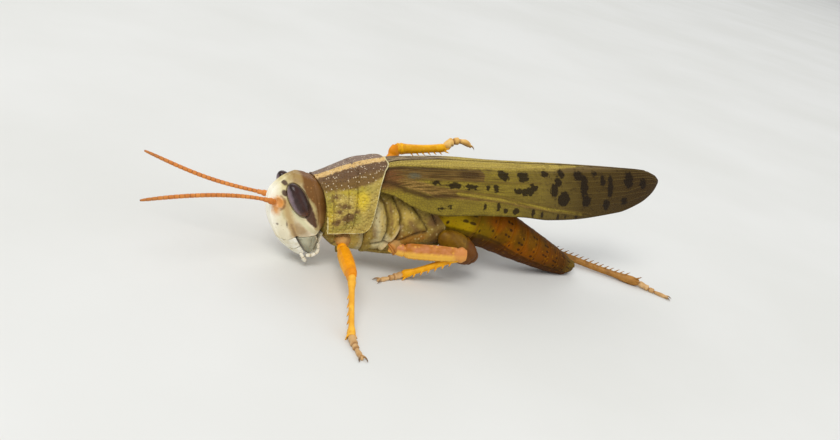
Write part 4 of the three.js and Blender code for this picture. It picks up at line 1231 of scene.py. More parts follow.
VEINS = (
    (UPPER_PAIR, 1.0),
    (LOWER_PAIR, 1.1),
    (MIDDLE_VEIN, 0.9),
    ([(-13.4, 0.16), (-12.9, 0.178), (-6.3, 0.245), (2.9, 0.238), (12.9, 0.215), (22, 0.14), (31, 0.03)],
     1.0),
    ([(-13.4, 0.07), (-6, 0.11), (6, 0.1), (18, 0.05)], 0.5),
    ([(-13.2, 0.24), (-8, 0.33), (2, 0.36), (13, 0.33), (24, 0.26), (32, 0.15)], 0.8),
    ([(-13.2, 0.34), (-8, 0.42), (0, 0.44), (12, 0.42), (24, 0.38), (33, 0.3)], 0.6),
    ([(-2, 0.6), (5, 0.6), (14, 0.61), (25, 0.6), (33.2, 0.58)], 0.6),
    ([(1.8, 0.74), (9, 0.71), (18, 0.7), (27, 0.72), (33, 0.72)], 0.7),
    ([(8.4, 0.83), (15, 0.79), (23, 0.8), (31, 0.83)], 0.6),
    ([(13, 0.88), (20, 0.87), (27, 0.9), (31.5, 0.93)], 0.6),
    ([(-13.0, 0.72), (-7.3, 0.80), (-0.7, 0.86), (4.4, 0.915), (10.4, 0.96)], 0.9),
    ([(-12.5, 0.85), (-8, 0.92), (-2, 0.95), (3, 0.985)], 0.6),
)
SPOTS = (
    (3.8, 0.39, 0.9, 0.85), (7.1, 0.41, 1.0, 0.85), (11.1, 0.34, 0.75, 0.6), (14.0, 0.34, 0.65, 0.7),
    (13.2, 0.5, 0.6, 0.8), (12.4, 0.65, 0.7, 1.0), (17.2, 0.39, 0.95, 0.8), (20.4, 0.33, 0.55, 0.4),
    (21.9, 0.49, 0.5, 1.1), (23.5, 0.62, 0.62, 1.5), (27.2, 0.48, 0.9, 1.2), (-4.6, 0.59, 1.0, 0.42),
    (-1.9, 0.61, 1.15, 0.42), (0.7, 0.61, 0.34, 0.38), (2.1, 0.625, 0.45, 0.48), (5.9, 0.66, 0.75, 0.42),
    (7.3, 0.67, 1.1, 0.55), (8.6, 0.6, 0.8, 0.5), (14.2, 0.77, 1.1, 1.1), (18.2, 0.57, 0.75, 1.7),
    (18.8, 0.81, 0.9, 0.95), (23.0, 0.89, 0.7, 0.85), (26.7, 0.88, 0.7, 0.6), (-7.4, 0.55, 0.85, 0.35),
    (-6.5, 0.93, 0.6, 0.32), (-5.2, 0.915, 0.35, 0.3), (30.2, 0.62, 0.7, 0.9),
)
EDGE_TICKS = (
    (0.3, 0.9, 0.18, 0.42), (2.5, 0.9, 0.2, 0.45), (3.8, 0.946, 0.28, 0.28), (5.6, 0.946, 0.46, 0.46),
    (8.7, 0.958, 0.2, 0.42), (10.4, 0.965, 0.2, 0.42), (13.5, 0.98, 0.18, 0.32), (15.0, 0.98, 0.15, 0.2),
    (17.2, 0.985, 0.16, 0.22),
)
ROOT_STREAK = [(-15.2, 0.6), (-13.4, 0.7), (-11.8, 0.79), (-8.8, 0.795), (-5.7, 0.755), (-2.5, 0.74)]
DARK_VEINS = (
    UPPER_PAIR[2:], LOWER_PAIR[1:4], MIDDLE_VEIN[1:4], [(-9, 0.64), (-4, 0.68), (1, 0.72), (5, 0.77)],
    [(3, 0.765), (7.7, 0.88), (11.1, 0.92), (17.9, 0.96)],
)
FAN = [(-14.5, 0.5), (-13.2, 0.62), (-10.3, 0.64), (-7.4, 0.69), (-3.5, 0.74), (3.0, 0.80), (7.8, 0.88),
       (14.0, 0.93)]


def wing_point(x, d, side, inset=0.0):
    a = pi / 2 * d
    top, low, wide = WING_TOP(x), WING_LOW(x), WING_HALF_WIDTH(x)
    boxy = 2.6 + 1.6 * (side > 0) * step(-x, -4, 4)
    z = low + (top - inset - low) * power(np.cos(a), boxy)
    y = side * (0.15 + np.maximum(0.1, wide - inset) * power(np.sin(a), 1.5))
    return np.stack([x, y, z], -1)


def chord_lengths(side, samples=60):
    """The distance over the wing from the ridge, in millimetres, as a function of x and d."""
    xs, ds = np.linspace(*WING_ENDS, samples), np.linspace(0, 1, samples)
    grid = wing_point(np.repeat(xs, samples), np.tile(ds, samples), side).reshape(samples, samples, 3)
    gone = np.cumsum(np.linalg.norm(np.diff(grid, axis=1), axis=2), axis=1)
    gone = np.concatenate([np.zeros((samples, 1)), gone], axis=1)

    def read(x, d):
        i = np.clip((x - xs[0]) / (xs[-1] - xs[0]) * (samples - 1), 0, samples - 1.001)
        j = np.clip(d * (samples - 1), 0, samples - 1.001)
        i0, j0 = i.astype(int), j.astype(int)
        wi, wj = i - i0, j - j0
        return (lerp(gone[i0, j0], gone[i0 + 1, j0], wi) * (1 - wj)
                + lerp(gone[i0, j0 + 1], gone[i0 + 1, j0 + 1], wi) * wj)

    return read


def wing_layout(x, d, chord):
    """The distances to the veins and markings of a fore wing, and the height of its veins."""
    across = chord(x, d)
    d = d - np.interp(x, [4, 17], [0.03, 0]) * np.sin(pi * d)
    marked = chord(x, d)

    def mm(px, pd):
        return px, float(chord(np.array([px]), np.array([pd]))[0])

    def line(places):
        return to_line(x, marked, [mm(*place) for place in places])

    def oval(px, pd, rx, ry):
        return to_oval(x, marked, mm(px, pd), (rx, ry))

    def past(start, slope):
        return slope * np.maximum(x - start, 0)

    def before(end, slope):
        return slope * np.maximum(end - x, 0)

    gaps = [(line(vein), weight) for vein, weight in VEINS]
    lift = np.maximum.reduce([ridge(gap, 0.1) * 0.12 * weight for gap, weight in gaps])
    stripe = (d - STRIPE_EDGE(x)) * WING_DEPTH
    under_stripe = np.maximum(STRIPE_EDGE(x) - d, d - BAND_TOP(x)) * WING_DEPTH + past(2, 0.25)
    upper, lower = (np.interp(x, *zip(*vein)) for vein in (UPPER_PAIR, LOWER_PAIR))
    between_pair = np.maximum(upper - d, d - lower) * WING_DEPTH
    fields = {
        "span": x,
        "chord": across,
        "vein": nearest(*[gap / weight for gap, weight in gaps]),
        "dorsal": stripe + past(12.5, 0.3),
        "stripe_end": stripe + before(12, 0.5) + past(25, 0.3),
        "dark_line": nearest(under_stripe, oval(-1.8, 0.4, 1.9, 0.6)),
        "band": np.maximum(BAND_TOP(x) - 0.03 - d, d - BAND_LOW(x)) * WING_DEPTH + past(0.2, 2.0),
        "bright": between_pair + 0.05 + before(-4, 0.5) + past(18, 0.4),
        "dark_veins": nearest(*[line(vein) for vein in DARK_VEINS]) - 0.07,
        "spots": nearest(*[oval(*spot) for spot in SPOTS]),
        "ticks": nearest(*[oval(*tick) for tick in EDGE_TICKS]) - 0.1,
        "rim_line": (1 - d) * WING_DEPTH - 0.05,
        "ridge_line": d * WING_DEPTH - 0.3 * step(x, 6, 16),
        "costal_side": (0.82 - d) * WING_DEPTH + past(10, 0.25),
        "root_spot": oval(-10.4, 0.45, 0.9, 0.4),
        "root_streak": line(ROOT_STREAK) - 0.34,
        "roots": np.hypot((x + 14.6) / 2.2, (d - 0.5) / 0.4) * 2 - 2,
        "fan": line(FAN) - np.interp(x, [-14, -11, -4, 3, 14], [0.5, 0.75, 0.6, 0.35, 0.12]),
    }
    return fields, lift


def build_fore_wing(name, side):
    chord = chord_lengths(side)

    def place(u, v):
        x = lerp(*WING_ENDS, u)
        d = 1 - (1 - v) ** 1.12
        fields, lift = wing_layout(x, d, chord)
        here = wing_point(x, d, side)
        ahead = wing_point(np.clip(x + 0.2, *WING_ENDS), d, side)
        ahead -= wing_point(np.clip(x - 0.2, *WING_ENDS), d, side)
        down = wing_point(x, np.clip(d + 0.02, 0, 1), side) - wing_point(x, np.clip(d - 0.02, 0, 1), side)
        out = np.cross(ahead, down) * side
        out *= np.where(out[:, 2:3] + side * out[:, 1:2] < 0, -1, 1)
        out /= np.linalg.norm(out, axis=1)[:, None] + 1e-9
        return from_trunk(here + out * lift[:, None]), fields

    wing = shaped_grid(f"fore_wing_{name}", 400, 100, place, closed=False)
    outwards(wing, (0, side, 1))
    thicken(wing, WING_THICKNESS)
    return wing


def fore_wing_finish(far):
    """Near and far wing differ only in the grey band along the ridge, which the far one shows."""
    name = "Far fore wing" if far else "Fore wing"
    look = Finish(name, "#917e2b", "#7d6b26", tone_scale=0.45, roughness=0.55, shine=0.1)
    span, chord = look.field("span"), look.field("chord")
    place, stretched = look.add("ShaderNodeCombineXYZ"), look.add("ShaderNodeCombineXYZ")
    look.link(span, place.inputs[0])
    for share, value, socket in ((1.25, chord, place.inputs[1]), (0.22, span, stretched.inputs[0]),
                                 (4.2, chord, stretched.inputs[1])):
        look.link(look.math("MULTIPLY", value, share), socket)
    cells, net, streaks = (look.add(kind) for kind in (
        "ShaderNodeTexVoronoi", "ShaderNodeTexVoronoi", "ShaderNodeTexNoise"))
    net.feature = "DISTANCE_TO_EDGE"
    for texture in (cells, net):
        texture.voronoi_dimensions = "2D"
        texture.inputs["Scale"].default_value = 2.3
        look.link(place.outputs[0], texture.inputs["Vector"])
    streaks.inputs["Scale"].default_value = 1.0
    look.link(stretched.outputs[0], streaks.inputs["Vector"])
    parts = look.add("ShaderNodeSeparateColor")
    look.link(cells.outputs["Color"], parts.inputs[0])
    chance = parts.outputs[0]

    def times(*values, clamp=False):
        return look.math("MULTIPLY", *values, clamp=clamp)

    def less(value, other):
        return look.math("SUBTRACT", value, other)

    def cellwise(name, amount):
        """A marking whose edge steps from one cell of the wing to the next."""
        return look.math("ADD", look.field(name), times(less(chance, 0.5), amount))

    def covered(amount, colour):
        look.colour = look.mix(amount, look.colour, rgba(colour))

    def streaky(where, start, colour, strength):
        """Fine streaks along the wing, over a mask."""
        fine = times(less(streaks.outputs["Fac"], start), 9.0, clamp=True)
        covered(times(times(fine, where), strength), colour)

    look.layer(less(7.0, span), "#6a5828", 8, breakup=3, grain=0.4, strength=0.8)
    look.layer(less(14.5, span), "#44320f", 8, breakup=3, grain=0.4, strength=0.9)
    look.layer("fan", "#977440", 0.35, breakup=0.4, grain=1.5, strength=0.8)
    streaky(look.mask("fan", softness=0.6, breakup=0.3), 0.48, "#5d431c", 0.85)
    look.layer("band", "#6f532a", 0.4, breakup=0.5, grain=1.5, strength=0.92)
    streaky(look.mask("band", softness=0.5, breakup=0.3), 0.46, "#4b3216", 0.85)
    look.layer("roots", "#6f4624", 1.3, breakup=1.2, grain=0.8, strength=0.9)
    near = look.mask(less(span, 7.0), softness=6, breakup=1.0)
    low = look.mask("costal_side", softness=1.0, breakup=0.3)
    streaky(times(near, less(1.0, low)), 0.53, "#4f3c19", 0.7)
    look.layer("root_streak", "#432c16", 0.4, breakup=0.5, grain=1.8)
    look.layer("bright", "#9f8b32", 0.25, breakup=0.15, grain=1.5)
    look.layer("dark_veins", "#513a14", 0.34, breakup=0.25, grain=1.5)
    look.layer("stripe_end", "#75603a", 1.2, breakup=0.5, grain=1.2)
    look.layer("dorsal", "#b7a04c", 0.7, breakup=0.5, grain=1.5, strength=0.95)
    streaky(look.mask("dorsal", softness=0.5, breakup=0.3), 0.5, "#86703a", 0.5)
    look.layer(less(25.0, span), "#38260f", 9, breakup=3, grain=0.5, strength=0.9)
    look.layer("dark_line", "#3c2813", 0.35, breakup=0.45)
    look.layer("root_spot", "#5c5a48", 0.35, breakup=0.5)
    if far:
        strip = look.mask(less(chord, 2.9), softness=0.6, breakup=0.5)
        near_half = look.mask(less(span, -4.0), softness=3, breakup=1.0)
        grey = times(strip, near_half)
        covered(times(grey, 0.9), "#a08c70")
        streaky(grey, 0.45, "#4e3d2c", 0.9)
    look.layer("ridge_line", "#6e5734", 0.25, breakup=0.6, grain=3.5, strength=0.8)
    odd = times(look.math("GREATER_THAN", chance, 0.84), times(less(span, 1.0), 0.06, clamp=True))
    covered(times(odd, 0.45), "#33240f")
    look.layer("rim_line", "#4a3814", 0.2, breakup=0.3, strength=0.8)
    cross = less(net.outputs["Distance"], 0.07)
    look.layer(cross, "#57481f", 0.1, breakup=0.05, grain=5.0, strength=0.5)
    vein = less(look.field("vein"), 0.05)
    look.layer(vein, "#8a7238", 0.12, strength=0.35)
    look.layer(cellwise("spots", 0.34), "#1c1208", 0.16, breakup=0.14, grain=3.0, strength=0.9)
    look.layer(cellwise("ticks", 0.15), "#22160a", 0.15, grain=3.0, strength=0.9)
    raised = times(look.mask(cross, softness=0.1, breakup=0.0), 1.6)
    return look.done(pit_depth=0.2, wrinkles=4.0, bump=0.6, extra=raised)


def build_hind_wing(name, side):
    """The folded fan under a fore wing: a pleated sheet with a rib on each pleat."""
    def place(u, v):
        x = lerp(*HINDWING_ENDS, u)
        d = lerp(0.05, 0.73, v)
        here = wing_point(x, d, side, HINDWING_INSET)
        pleat = 0.09 * np.cos(v * 2 * pi * HINDWING_PLEATS) * step(u, 0, 0.1)
        here[:, 2] -= pleat * np.cos(d * pi / 2)
        here[:, 1] -= side * pleat * np.sin(d * pi / 2)
        here[:, 2] -= 0.88 * step(u, 0.82, 1.0) * (1 - v)
        return from_trunk(here), {"rib": from_whole(v * HINDWING_PLEATS) * 0.8 - 0.05}

    fan = shaped_grid(f"hind_wing_{name}", 160, 110, place, closed=False)
    outwards(fan, (0, side, 1))
    thicken(fan, HINDWING_THICKNESS)
    return fan


def hind_wing_finish():
    look = Finish("Hind wing", "#a89468", "#8f7b52", tone_scale=0.5, roughness=0.4)
    look.layer("rib", "#5a4426", 0.08, breakup=0.04)
    return look.done(pits=3.0, pit_depth=0.2, bump_mm=0.04)


def build_wings():
    hind = hind_wing_finish()
    for name, side in SIDES:
        fore = fore_wing_finish(side > 0)
        finished(build_fore_wing(name, side), fore, "wing", f"tegmen_{name}")
        finished(build_hind_wing(name, side), hind, "hindwing", f"hindwing_{name}")


# ---------------- feelers and palps
FEELER_JOINTS = 24
# The share of a feeler taken by its two root segments; the beaded part begins behind them.
FEELER_ROOT = 0.09


def evenly(radius, thin=1.0):
    """Radii for a limb that is round, or thinner across by one share all along."""
    return lambda t: (radius(t), radius(t) * thin)


def build_feelers():
    look = Finish("Feeler", "#d98a3e", "#c0702c", tone_scale=0.8, roughness=0.45)
    look.layer("joint", "#6e3c14", 0.06, breakup=0.04, strength=0.7)
    look.layer("tip", "#9c6230", 2.0, breakup=0.5, strength=0.5)
    finish = look.done(pits=6.0, wrinkles=5.0, bump_mm=0.03)
    radius = curve([[0, 0.36], [0.03, 0.42], [0.052, 0.3], [0.062, 0.31], [0.082, 0.3], [FEELER_ROOT, 0.25],
                    [0.4, 0.27], [0.75, 0.26], [0.95, 0.2], [1, 0.12]])
    for name, _ in SIDES:
        node = f"antenna_{name}"
        plain = centre_line(node, EYES_MIDDLE, 2)

        def path(t, plain=plain, name=name):
            t = np.clip(np.asarray(t, float), 0, 1)
            sag = 0.42 * np.sin(pi * t ** 0.6) if name == "left" else -1.15 * np.sin(pi * t)
            return plain(t) + np.asarray(sag)[..., None] * TILT[:, 2]

        length = float(np.linalg.norm(path(1.0) - path(0.0)))

        def from_joint(t):
            return from_whole((t - FEELER_ROOT) / (1 - FEELER_ROOT) * FEELER_JOINTS)

        def bead(t, _):
            return np.where(t > FEELER_ROOT, -0.17 * ridge(from_joint(t), 0.1), 0)

        def fields(t, _, length=length):
            gap = from_joint(t) * length / FEELER_JOINTS
            return {"joint": np.where(t > FEELER_ROOT, gap, 1) - 0.05, "tip": (0.85 - t) * length}

        feeler = tube(f"feeler_{name}", path, evenly(radius), (0, 0, 1), 20, 300, bead, fields)
        finished(feeler, finish, "antenna", node)


# The joints of the palps in trunk axes, on the right side.
PALPS = {
    "maxillary": [(-22.6, 2.0, 2.4), (-22.6, 2.2, 1.6), (-23.0, 2.4, 1.0), (-23.7, 2.4, 0.8),
                  (-24.35, 2.3, 0.8)],
    "labial": [(-24.9, 1.5, 1.5), (-24.95, 2.1, 1.1), (-24.7, 2.35, 0.55), (-24.35, 2.4, -0.05)],
}


def smooth_path(places):
    """A smooth line through places in trunk axes, as a function of 0 to 1, in part millimetres."""
    shares = np.linspace(0, 1, len(places))
    axes = [curve(list(zip(shares, values))) for values in np.array(places).T]

    def read(t):
        t = np.asarray(t, float)
        return from_trunk(np.stack([axis(t) for axis in axes], -1)) / MM

    return read


def build_palps():
    look = Finish("Palp", "#ece8da", "#d8cfb4", tone_scale=1.5, roughness=0.4)
    look.layer("joint", "#8b7a5c", 0.08, breakup=0.05, strength=0.6)
    finish = look.done(pits=6.0, pit_depth=0.3, wrinkles=4.0, bump=0.25, bump_mm=0.03)
    radius = curve([[0, 0.2], [0.5, 0.24], [0.85, 0.28], [1, 0.2]])
    for kind, places in PALPS.items():
        joints = len(places) - 1
        for name, side in SIDES:
            middle = smooth_path([(x, side * y, z) for x, y, z in places])

            def narrow(t, _, joints=joints):
                return -0.28 * ridge(from_whole(t * joints), 0.09) * (t > 0.05) * (t < 0.95)

            def fields(t, _, joints=joints):
                return {"joint": from_whole(t * joints) * 0.8 - 0.05}

            palp = tube(f"palp_{kind}_{name}", middle, evenly(radius), (0.3, 0, 1), 20, 80, narrow, fields)
            finished(palp, finish, "mouth", f"{kind}_palp_{name}")


# ---------------- legs
FEMUR = {
    "fore": [[0, 0.65], [0.12, 0.94], [0.5, 1.0], [0.82, 0.84], [0.93, 0.92], [1, 0.6]],
    "middle": [[0, 0.85], [0.14, 1.08], [0.5, 1.1], [0.82, 1.0], [0.92, 1.1], [1, 0.78]],
    "hind": [[0, 0.95], [0.08, 1.9], [0.25, 2.5], [0.5, 1.95], [0.75, 1.15], [0.88, 0.85], [0.95, 1.15],
             [1, 0.75]],
}
FEMUR_THICKNESS = {
    "fore": [[0, 0.6], [0.12, 0.82], [0.5, 0.86], [0.85, 0.74], [1, 0.5]],
    "middle": [[0, 0.6], [0.12, 0.82], [0.5, 0.85], [0.85, 0.7], [1, 0.55]],
    "hind": [[0, 0.75], [0.1, 1.15], [0.3, 1.3], [0.6, 0.95], [0.88, 0.65], [0.95, 0.85], [1, 0.6]],
}
TIBIA = {
    "fore": [[0, 0.45], [0.08, 0.6], [0.25, 0.42], [0.8, 0.4], [0.95, 0.56], [1, 0.45]],
    "middle": [[0, 0.45], [0.08, 0.62], [0.25, 0.45], [0.8, 0.42], [0.95, 0.58], [1, 0.45]],
    "hind": [[0, 0.55], [0.05, 0.8], [0.15, 0.55], [0.8, 0.5], [0.95, 0.7], [1, 0.5]],
    "raised": [[0, 0.66], [0.08, 0.86], [0.2, 0.72], [0.7, 0.58], [0.92, 0.62], [1, 0.48]],
}
HIP_RADIUS = {"fore": 1.196, "middle": 1.472, "hind": 1.748}
HIP_ROOTS = {"fore": (0.3, -0.9, 1.3), "middle": (0.4, -1.3, 0.7), "hind": (0.2, -1.0, 0.8)}


def leg_finish(name, base, dark, low, joint):
    look = Finish(name, base, dark, tone_scale=0.9, roughness=0.42, shine=0.18)
    look.speckle(1.8, 0.4, low, 0.45)
    look.speckle(1.1, 0.45, joint, 0.4, share=0.45)
    look.layer("low", low, 0.45, breakup=0.4)
    look.layer("joint", joint, 0.8, breakup=0.5, grain=1.5, strength=0.75)
    look.layer("dots", "#5a3015", 0.1, breakup=0.2, grain=3.0, strength=0.6)
    return look.done(pits=4.5, pit_depth=0.5, wrinkles=4.0, bump=0.4)


# The length of the small ring between hip and femur, and its widths as shares of the femur's first width.
HIP_JOINT = {"fore": 1.15, "middle": 2.3, "hind": 1.15}
RING_WIDTHS = {"fore": (0.7, 1.12, 0.95), "middle": (0.4, 0.85, 1.12), "hind": (0.7, 1.12, 0.92)}
# How far a knee lies from the end of its plain line, in trunk axes.
KNEE_SHIFT = {"middle_left": (0, 0, 0.42), "middle_right": (0.9, 0, 0.85)}


def with_trochanter(keys, share, widths):
    """The widths of a femur with the small ring before it, which takes the first share of the length."""
    ring = [[share * at, keys[0][1] * width] for at, width in zip((0, 0.5, 0.95), widths)]
    return curve(ring + [[share + (1 - share) * t, width] for t, width in keys[1:]])


def build_femur(label, hip, up, finish, pair):
    """A femur with its trochanter, reaching back to the hip."""
    node = f"{label}_femur"
    thigh = centre_line(node, hip, 1)
    length = float(np.linalg.norm(thigh(1.0) - thigh(0.0)))
    share = HIP_JOINT[pair] / (length + HIP_JOINT[pair])
    deep = with_trochanter(FEMUR[pair], share, RING_WIDTHS[pair])
    thick = with_trochanter(FEMUR_THICKNESS[pair], share, RING_WIDTHS[pair])
    length += HIP_JOINT[pair]
    shift = TILT @ np.array(KNEE_SHIFT.get(label, (0, 0, 0)), float)

    def path(t):
        t = np.asarray(t, float)
        return thigh((t - share) / (1 - share)) + (np.clip(t, 0, 1) ** 1.5)[..., None] * shift

    def relief(t, turn):
        down = from_top(turn)
        keels = ridge(down, 0.12) + ridge(down - pi, 0.14) + 0.8 * ridge(down - 0.85, 0.1)
        keels += ridge(down - 2.25, 0.12)
        body = step(t, share, share + 0.06) * (1 - step(t, 0.84, 0.9))
        teeth = 0.03 * np.cos(2 * pi * t * length / 0.75) * (ridge(down - 2.25, 0.25) + ridge(down - pi, 0.2))
        knee = -0.1 * ridge(t - 0.885, 0.018) + 0.05 * ridge(t - 0.94, 0.03)
        bones = 0
        if pair == "hind":
            slant = t * length - 1.3 * np.abs(np.cos(turn) * deep(t))
            bones = 0.035 * np.cos(2 * pi * slant / 1.05) * ridge(down - 1.55, 0.5)
        return body * (0.08 * keels + teeth + bones) + knee - 0.2 * ridge(t - share * 0.97, 0.012)

    def fields(t, turn):
        down = from_top(turn)
        rings = np.abs(np.mod(t * length + 0.3, 1.1) - 0.55) - 0.1
        return {"low": (1.45 - down) * deep(t), "joint": (0.84 - t) * length,
                "dots": np.maximum(rings, 0.1) - 0.04 + 5 * (np.abs(down - 0.75) > 0.12)}

    femur = tube(f"femur_{label}", path, lambda t: (deep(t), thick(t)), up, 64, 170, relief, fields)
    finished(femur, finish, "leg", node)
    return path(0.975)


def spine_blank(length, base=0.13):
    """One spine along +Z from the origin, in millimetres, to be copied."""
    return drawn_out("spine", [
        ((0, 0, -0.15), base * 1.2), ((0, 0, 0.1), base), ((0, 0.02, 0.45 * length), base * 0.72),
        ((0, 0.06, 0.8 * length), base * 0.4), ((0, 0.12, length), base * 0.1)])


def unit_frame(ahead, up):
    """The directions ahead, up and across of a limb, square to each other."""
    ahead = ahead / np.linalg.norm(ahead)
    up = np.array(up, float)
    up -= ahead * (up @ ahead)
    up /= np.linalg.norm(up)
    return ahead, up, np.cross(ahead, up)


def build_tibia(label, start, end, up, finish, pair, spines):
    """A shin with two rows of spines on the side given by spines = (direction, number, size)."""
    node = f"{label}_tibia"
    length = float(np.linalg.norm(end - start))
    ahead, up, across = unit_frame(end - start, up)
    deep = curve(TIBIA["raised" if label == "middle_right" else pair])

    def path(t):
        t = np.asarray(t, float)[..., None]
        return start + (end - start) * t - up * (0.015 * length * np.sin(pi * t))

    def relief(t, turn):
        keels = ridge(from_top(turn) - 0.6, 0.16) + ridge(from_top(turn) - 2.5, 0.16)
        knee = 0.08 * ridge(t - 0.035, 0.018) - 0.12 * ridge(t - 0.075, 0.02)
        return 0.09 * keels * step(t, 0.05, 0.12) + knee

    def fields(t, _):
        return {"low": 0 * t + 0.5, "joint": (0.55 - np.abs(t - 0.5)) * length, "dots": 0 * t + 1}

    shin = tube("shin", path, evenly(deep, 0.9), up, 28, 130, relief, fields)
    towards, number, size = spines
    spine = spine_blank(size)
    ones = np.ones(len(spine.data.vertices))
    paint(spine, {"low": ones, "joint": ones, "dots": 0.75 * size - coordinates(spine)[:, 2] / MM})
    pieces = [shin]
    for row in (-1, 1):
        for i in range(number):
            t = lerp(0.24, 0.93, (i + (0.5 if row > 0 else 0)) / number)
            root = path(t) + towards * up * float(deep(t)) * 0.75 + across * row * 0.26
            lean = towards * up + across * row * 0.5 + ahead * 0.75
            pieces.append(copied(spine, "spine_copy", placed(root, lean, ahead)))
        for lift in (0.2, 0.9):
            root = path(0.97) + towards * up * float(deep(0.97)) * lift * 0.7 + across * row * 0.38
            lean = ahead + across * row * 0.55 + towards * up * (lift - 0.3)
            pieces.append(copied(spine, "spur_copy", placed(root, lean, up, 1.15)))
    bpy.data.objects.remove(spine)
    finished(joined(f"tibia_{label}", pieces), finish, "leg", node)


# The foot of the raised leg, in trunk axes: up from the shin and over.
RAISED_FOOT = smooth_path([(0.6, 9.2, 10.75), (1.2, 9.2, 11.5), (2.3, 9.2, 11.75), (3.6, 9.2, 11.55),
                           (4.7, 9.2, 10.9), (5.6, 9.2, 10.0)])
RAISED_FOOT_SIZE = 1.35
# The segments of a foot take this share of its length, and the claws and the lobe the rest.
FOOT_SEGMENTS = 0.76
# One claw: steps ahead of the last segment, to the side and up, and the radius there.
CLAW = ((-0.25, 0.1, 0.02, 0.15), (0.1, 0.24, 0.12, 0.15), (0.45, 0.4, 0.16, 0.12), (0.78, 0.52, 0.04, 0.08),
        (0.98, 0.56, -0.16, 0.02))
LOBE = ((-0.2, 0, 0, 0.12), (0.1, 0, 0, 0.2), (0.38, 0, -0.05, 0.24), (0.52, 0, -0.06, 0.14))


def build_tarsus(label, start, finish):
    """Three foot segments, the first on three pads, then two hooked claws round a small lobe."""
    node = f"{label}_tarsus"
    raised = label == "middle_right"
    path = RAISED_FOOT if raised else centre_line(node, start, 2)
    size = RAISED_FOOT_SIZE if raised else 1.0
    length = float(np.linalg.norm(path(1.0) - path(0.0)))
    deep = curve([[0, 0.38], [0.1, 0.5], [0.24, 0.44], [0.34, 0.5], [0.4, 0.34], [0.44, 0.38], [0.56, 0.42],
                  [0.6, 0.27], [0.66, 0.27], [0.85, 0.35], [1, 0.28]])

    def foot_path(t):
        return path(np.asarray(t) * FOOT_SEGMENTS)

    def relief(t, turn):
        joints = ridge(t - 0.4, 0.018) + ridge(t - 0.6, 0.018)
        pads = ridge(t - 0.1, 0.02) + ridge(t - 0.25, 0.02)
        return -0.3 * joints - 0.16 * pads * (from_top(turn) > 1.7)

    def fields(t, turn):
        joints = nearest(np.abs(t - 0.4), np.abs(t - 0.6), t) * length * FOOT_SEGMENTS
        return {"joint": joints - 0.12, "pad": (1.9 - from_top(turn)) * 0.4, "claw": 0 * t + 1}

    foot = tube("foot", foot_path, evenly(lambda t: deep(t) * size, 0.95), (0, 0, 1), 26, 120, relief, fields)
    end = foot_path(1.0)
    ahead, up, across = unit_frame(end - foot_path(0.93), (0, 0, 1))
    pieces = [foot]
    for name, side, bends, corners in (("claw", -1, CLAW, 10), ("claw", 1, CLAW, 10), ("lobe", 1, LOBE, 12)):
        steps = [(end + ahead * a + across * side * s + up * h, r) for a, s, h, r in bends]
        piece = drawn_out(name, steps, corners)
        round_off(piece)
        ones = np.ones(len(piece.data.vertices))
        shade = ones if name == "lobe" else 0.35 - (coordinates(piece) / MM - end) @ ahead
        paint(piece, {"joint": ones, "pad": ones, "claw": shade})
        pieces.append(piece)
    foot = joined(f"foot_{label}", pieces)
    set_coordinates(foot, on_the_floor(coordinates(foot)))
    finished(foot, finish, "leg", node)


def foot_finish(name, base, dark):
    look = Finish(name, base, dark, tone_scale=0.9, roughness=0.42)
    look.layer("pad", "#c9a878", 0.3, breakup=0.2, strength=0.6)
    look.layer("joint", "#8a5c34", 0.15, strength=0.6)
    look.layer("claw", "#3a2316", 0.7, strength=0.8)
    return look.done(pits=6.0, pit_depth=0.3, wrinkles=5.0, bump_mm=0.03)


def from_seam(turn):
    """The angle round a hip from the nearer of its two long seams."""
    return np.abs(np.mod(turn + 0.6, pi) - pi / 2)


def build_coxa(pair, name, side, finish):
    """A hip: a cone from the side of the body to the ring of the femur."""
    node = f"{pair}_{name}_coxa"
    centre = box_middle(node)
    thigh = centre_line(f"{pair}_{name}_femur", centre, 1)
    ahead = thigh(1.0) - thigh(0.0)
    joint = thigh(0.0) - ahead / np.linalg.norm(ahead) * HIP_JOINT[pair] * 0.9
    root = centre + TILT @ np.array(HIP_ROOTS[pair]) * (1, side, 1)
    bend = lerp(root, joint, 0.55) + TILT @ np.array((0, side * 0.5, -0.1))
    wide, slim = HIP_RADIUS[pair], FEMUR[pair][0][1] * 1.12

    def path(t):
        t = np.asarray(t, float)[..., None]
        return root * (1 - t) ** 2 + 2 * bend * t * (1 - t) + joint * t ** 2

    def radii(t):
        deep = np.interp(t, [0, 0.3, 0.7, 1], [wide * 0.9, wide, lerp(wide, slim, 0.7), slim])
        return deep, deep * 0.82

    def relief(t, turn):
        seams = ridge(from_seam(turn), 0.14) * step(t, 0.25, 0.4)
        rings = 0.06 * ridge(t - 0.95, 0.04) - 0.12 * ridge(t - 0.28, 0.03) - 0.14 * ridge(t - 0.88, 0.025)
        return rings - 0.1 * seams

    def fields(t, turn):
        seam = nearest(np.abs(t - 0.28) * 3, np.abs(t - 0.88) * 3, from_seam(turn) + (t < 0.3))
        return {"low": (0.72 - t) * 2, "joint": seam - 0.1, "dots": 0 * t + 1}

    hip = tube(f"hip_{pair}_{name}", path, radii, (1, 0, 0.15), 48, 90, relief, fields)
    finished(hip, finish, "leg", node)


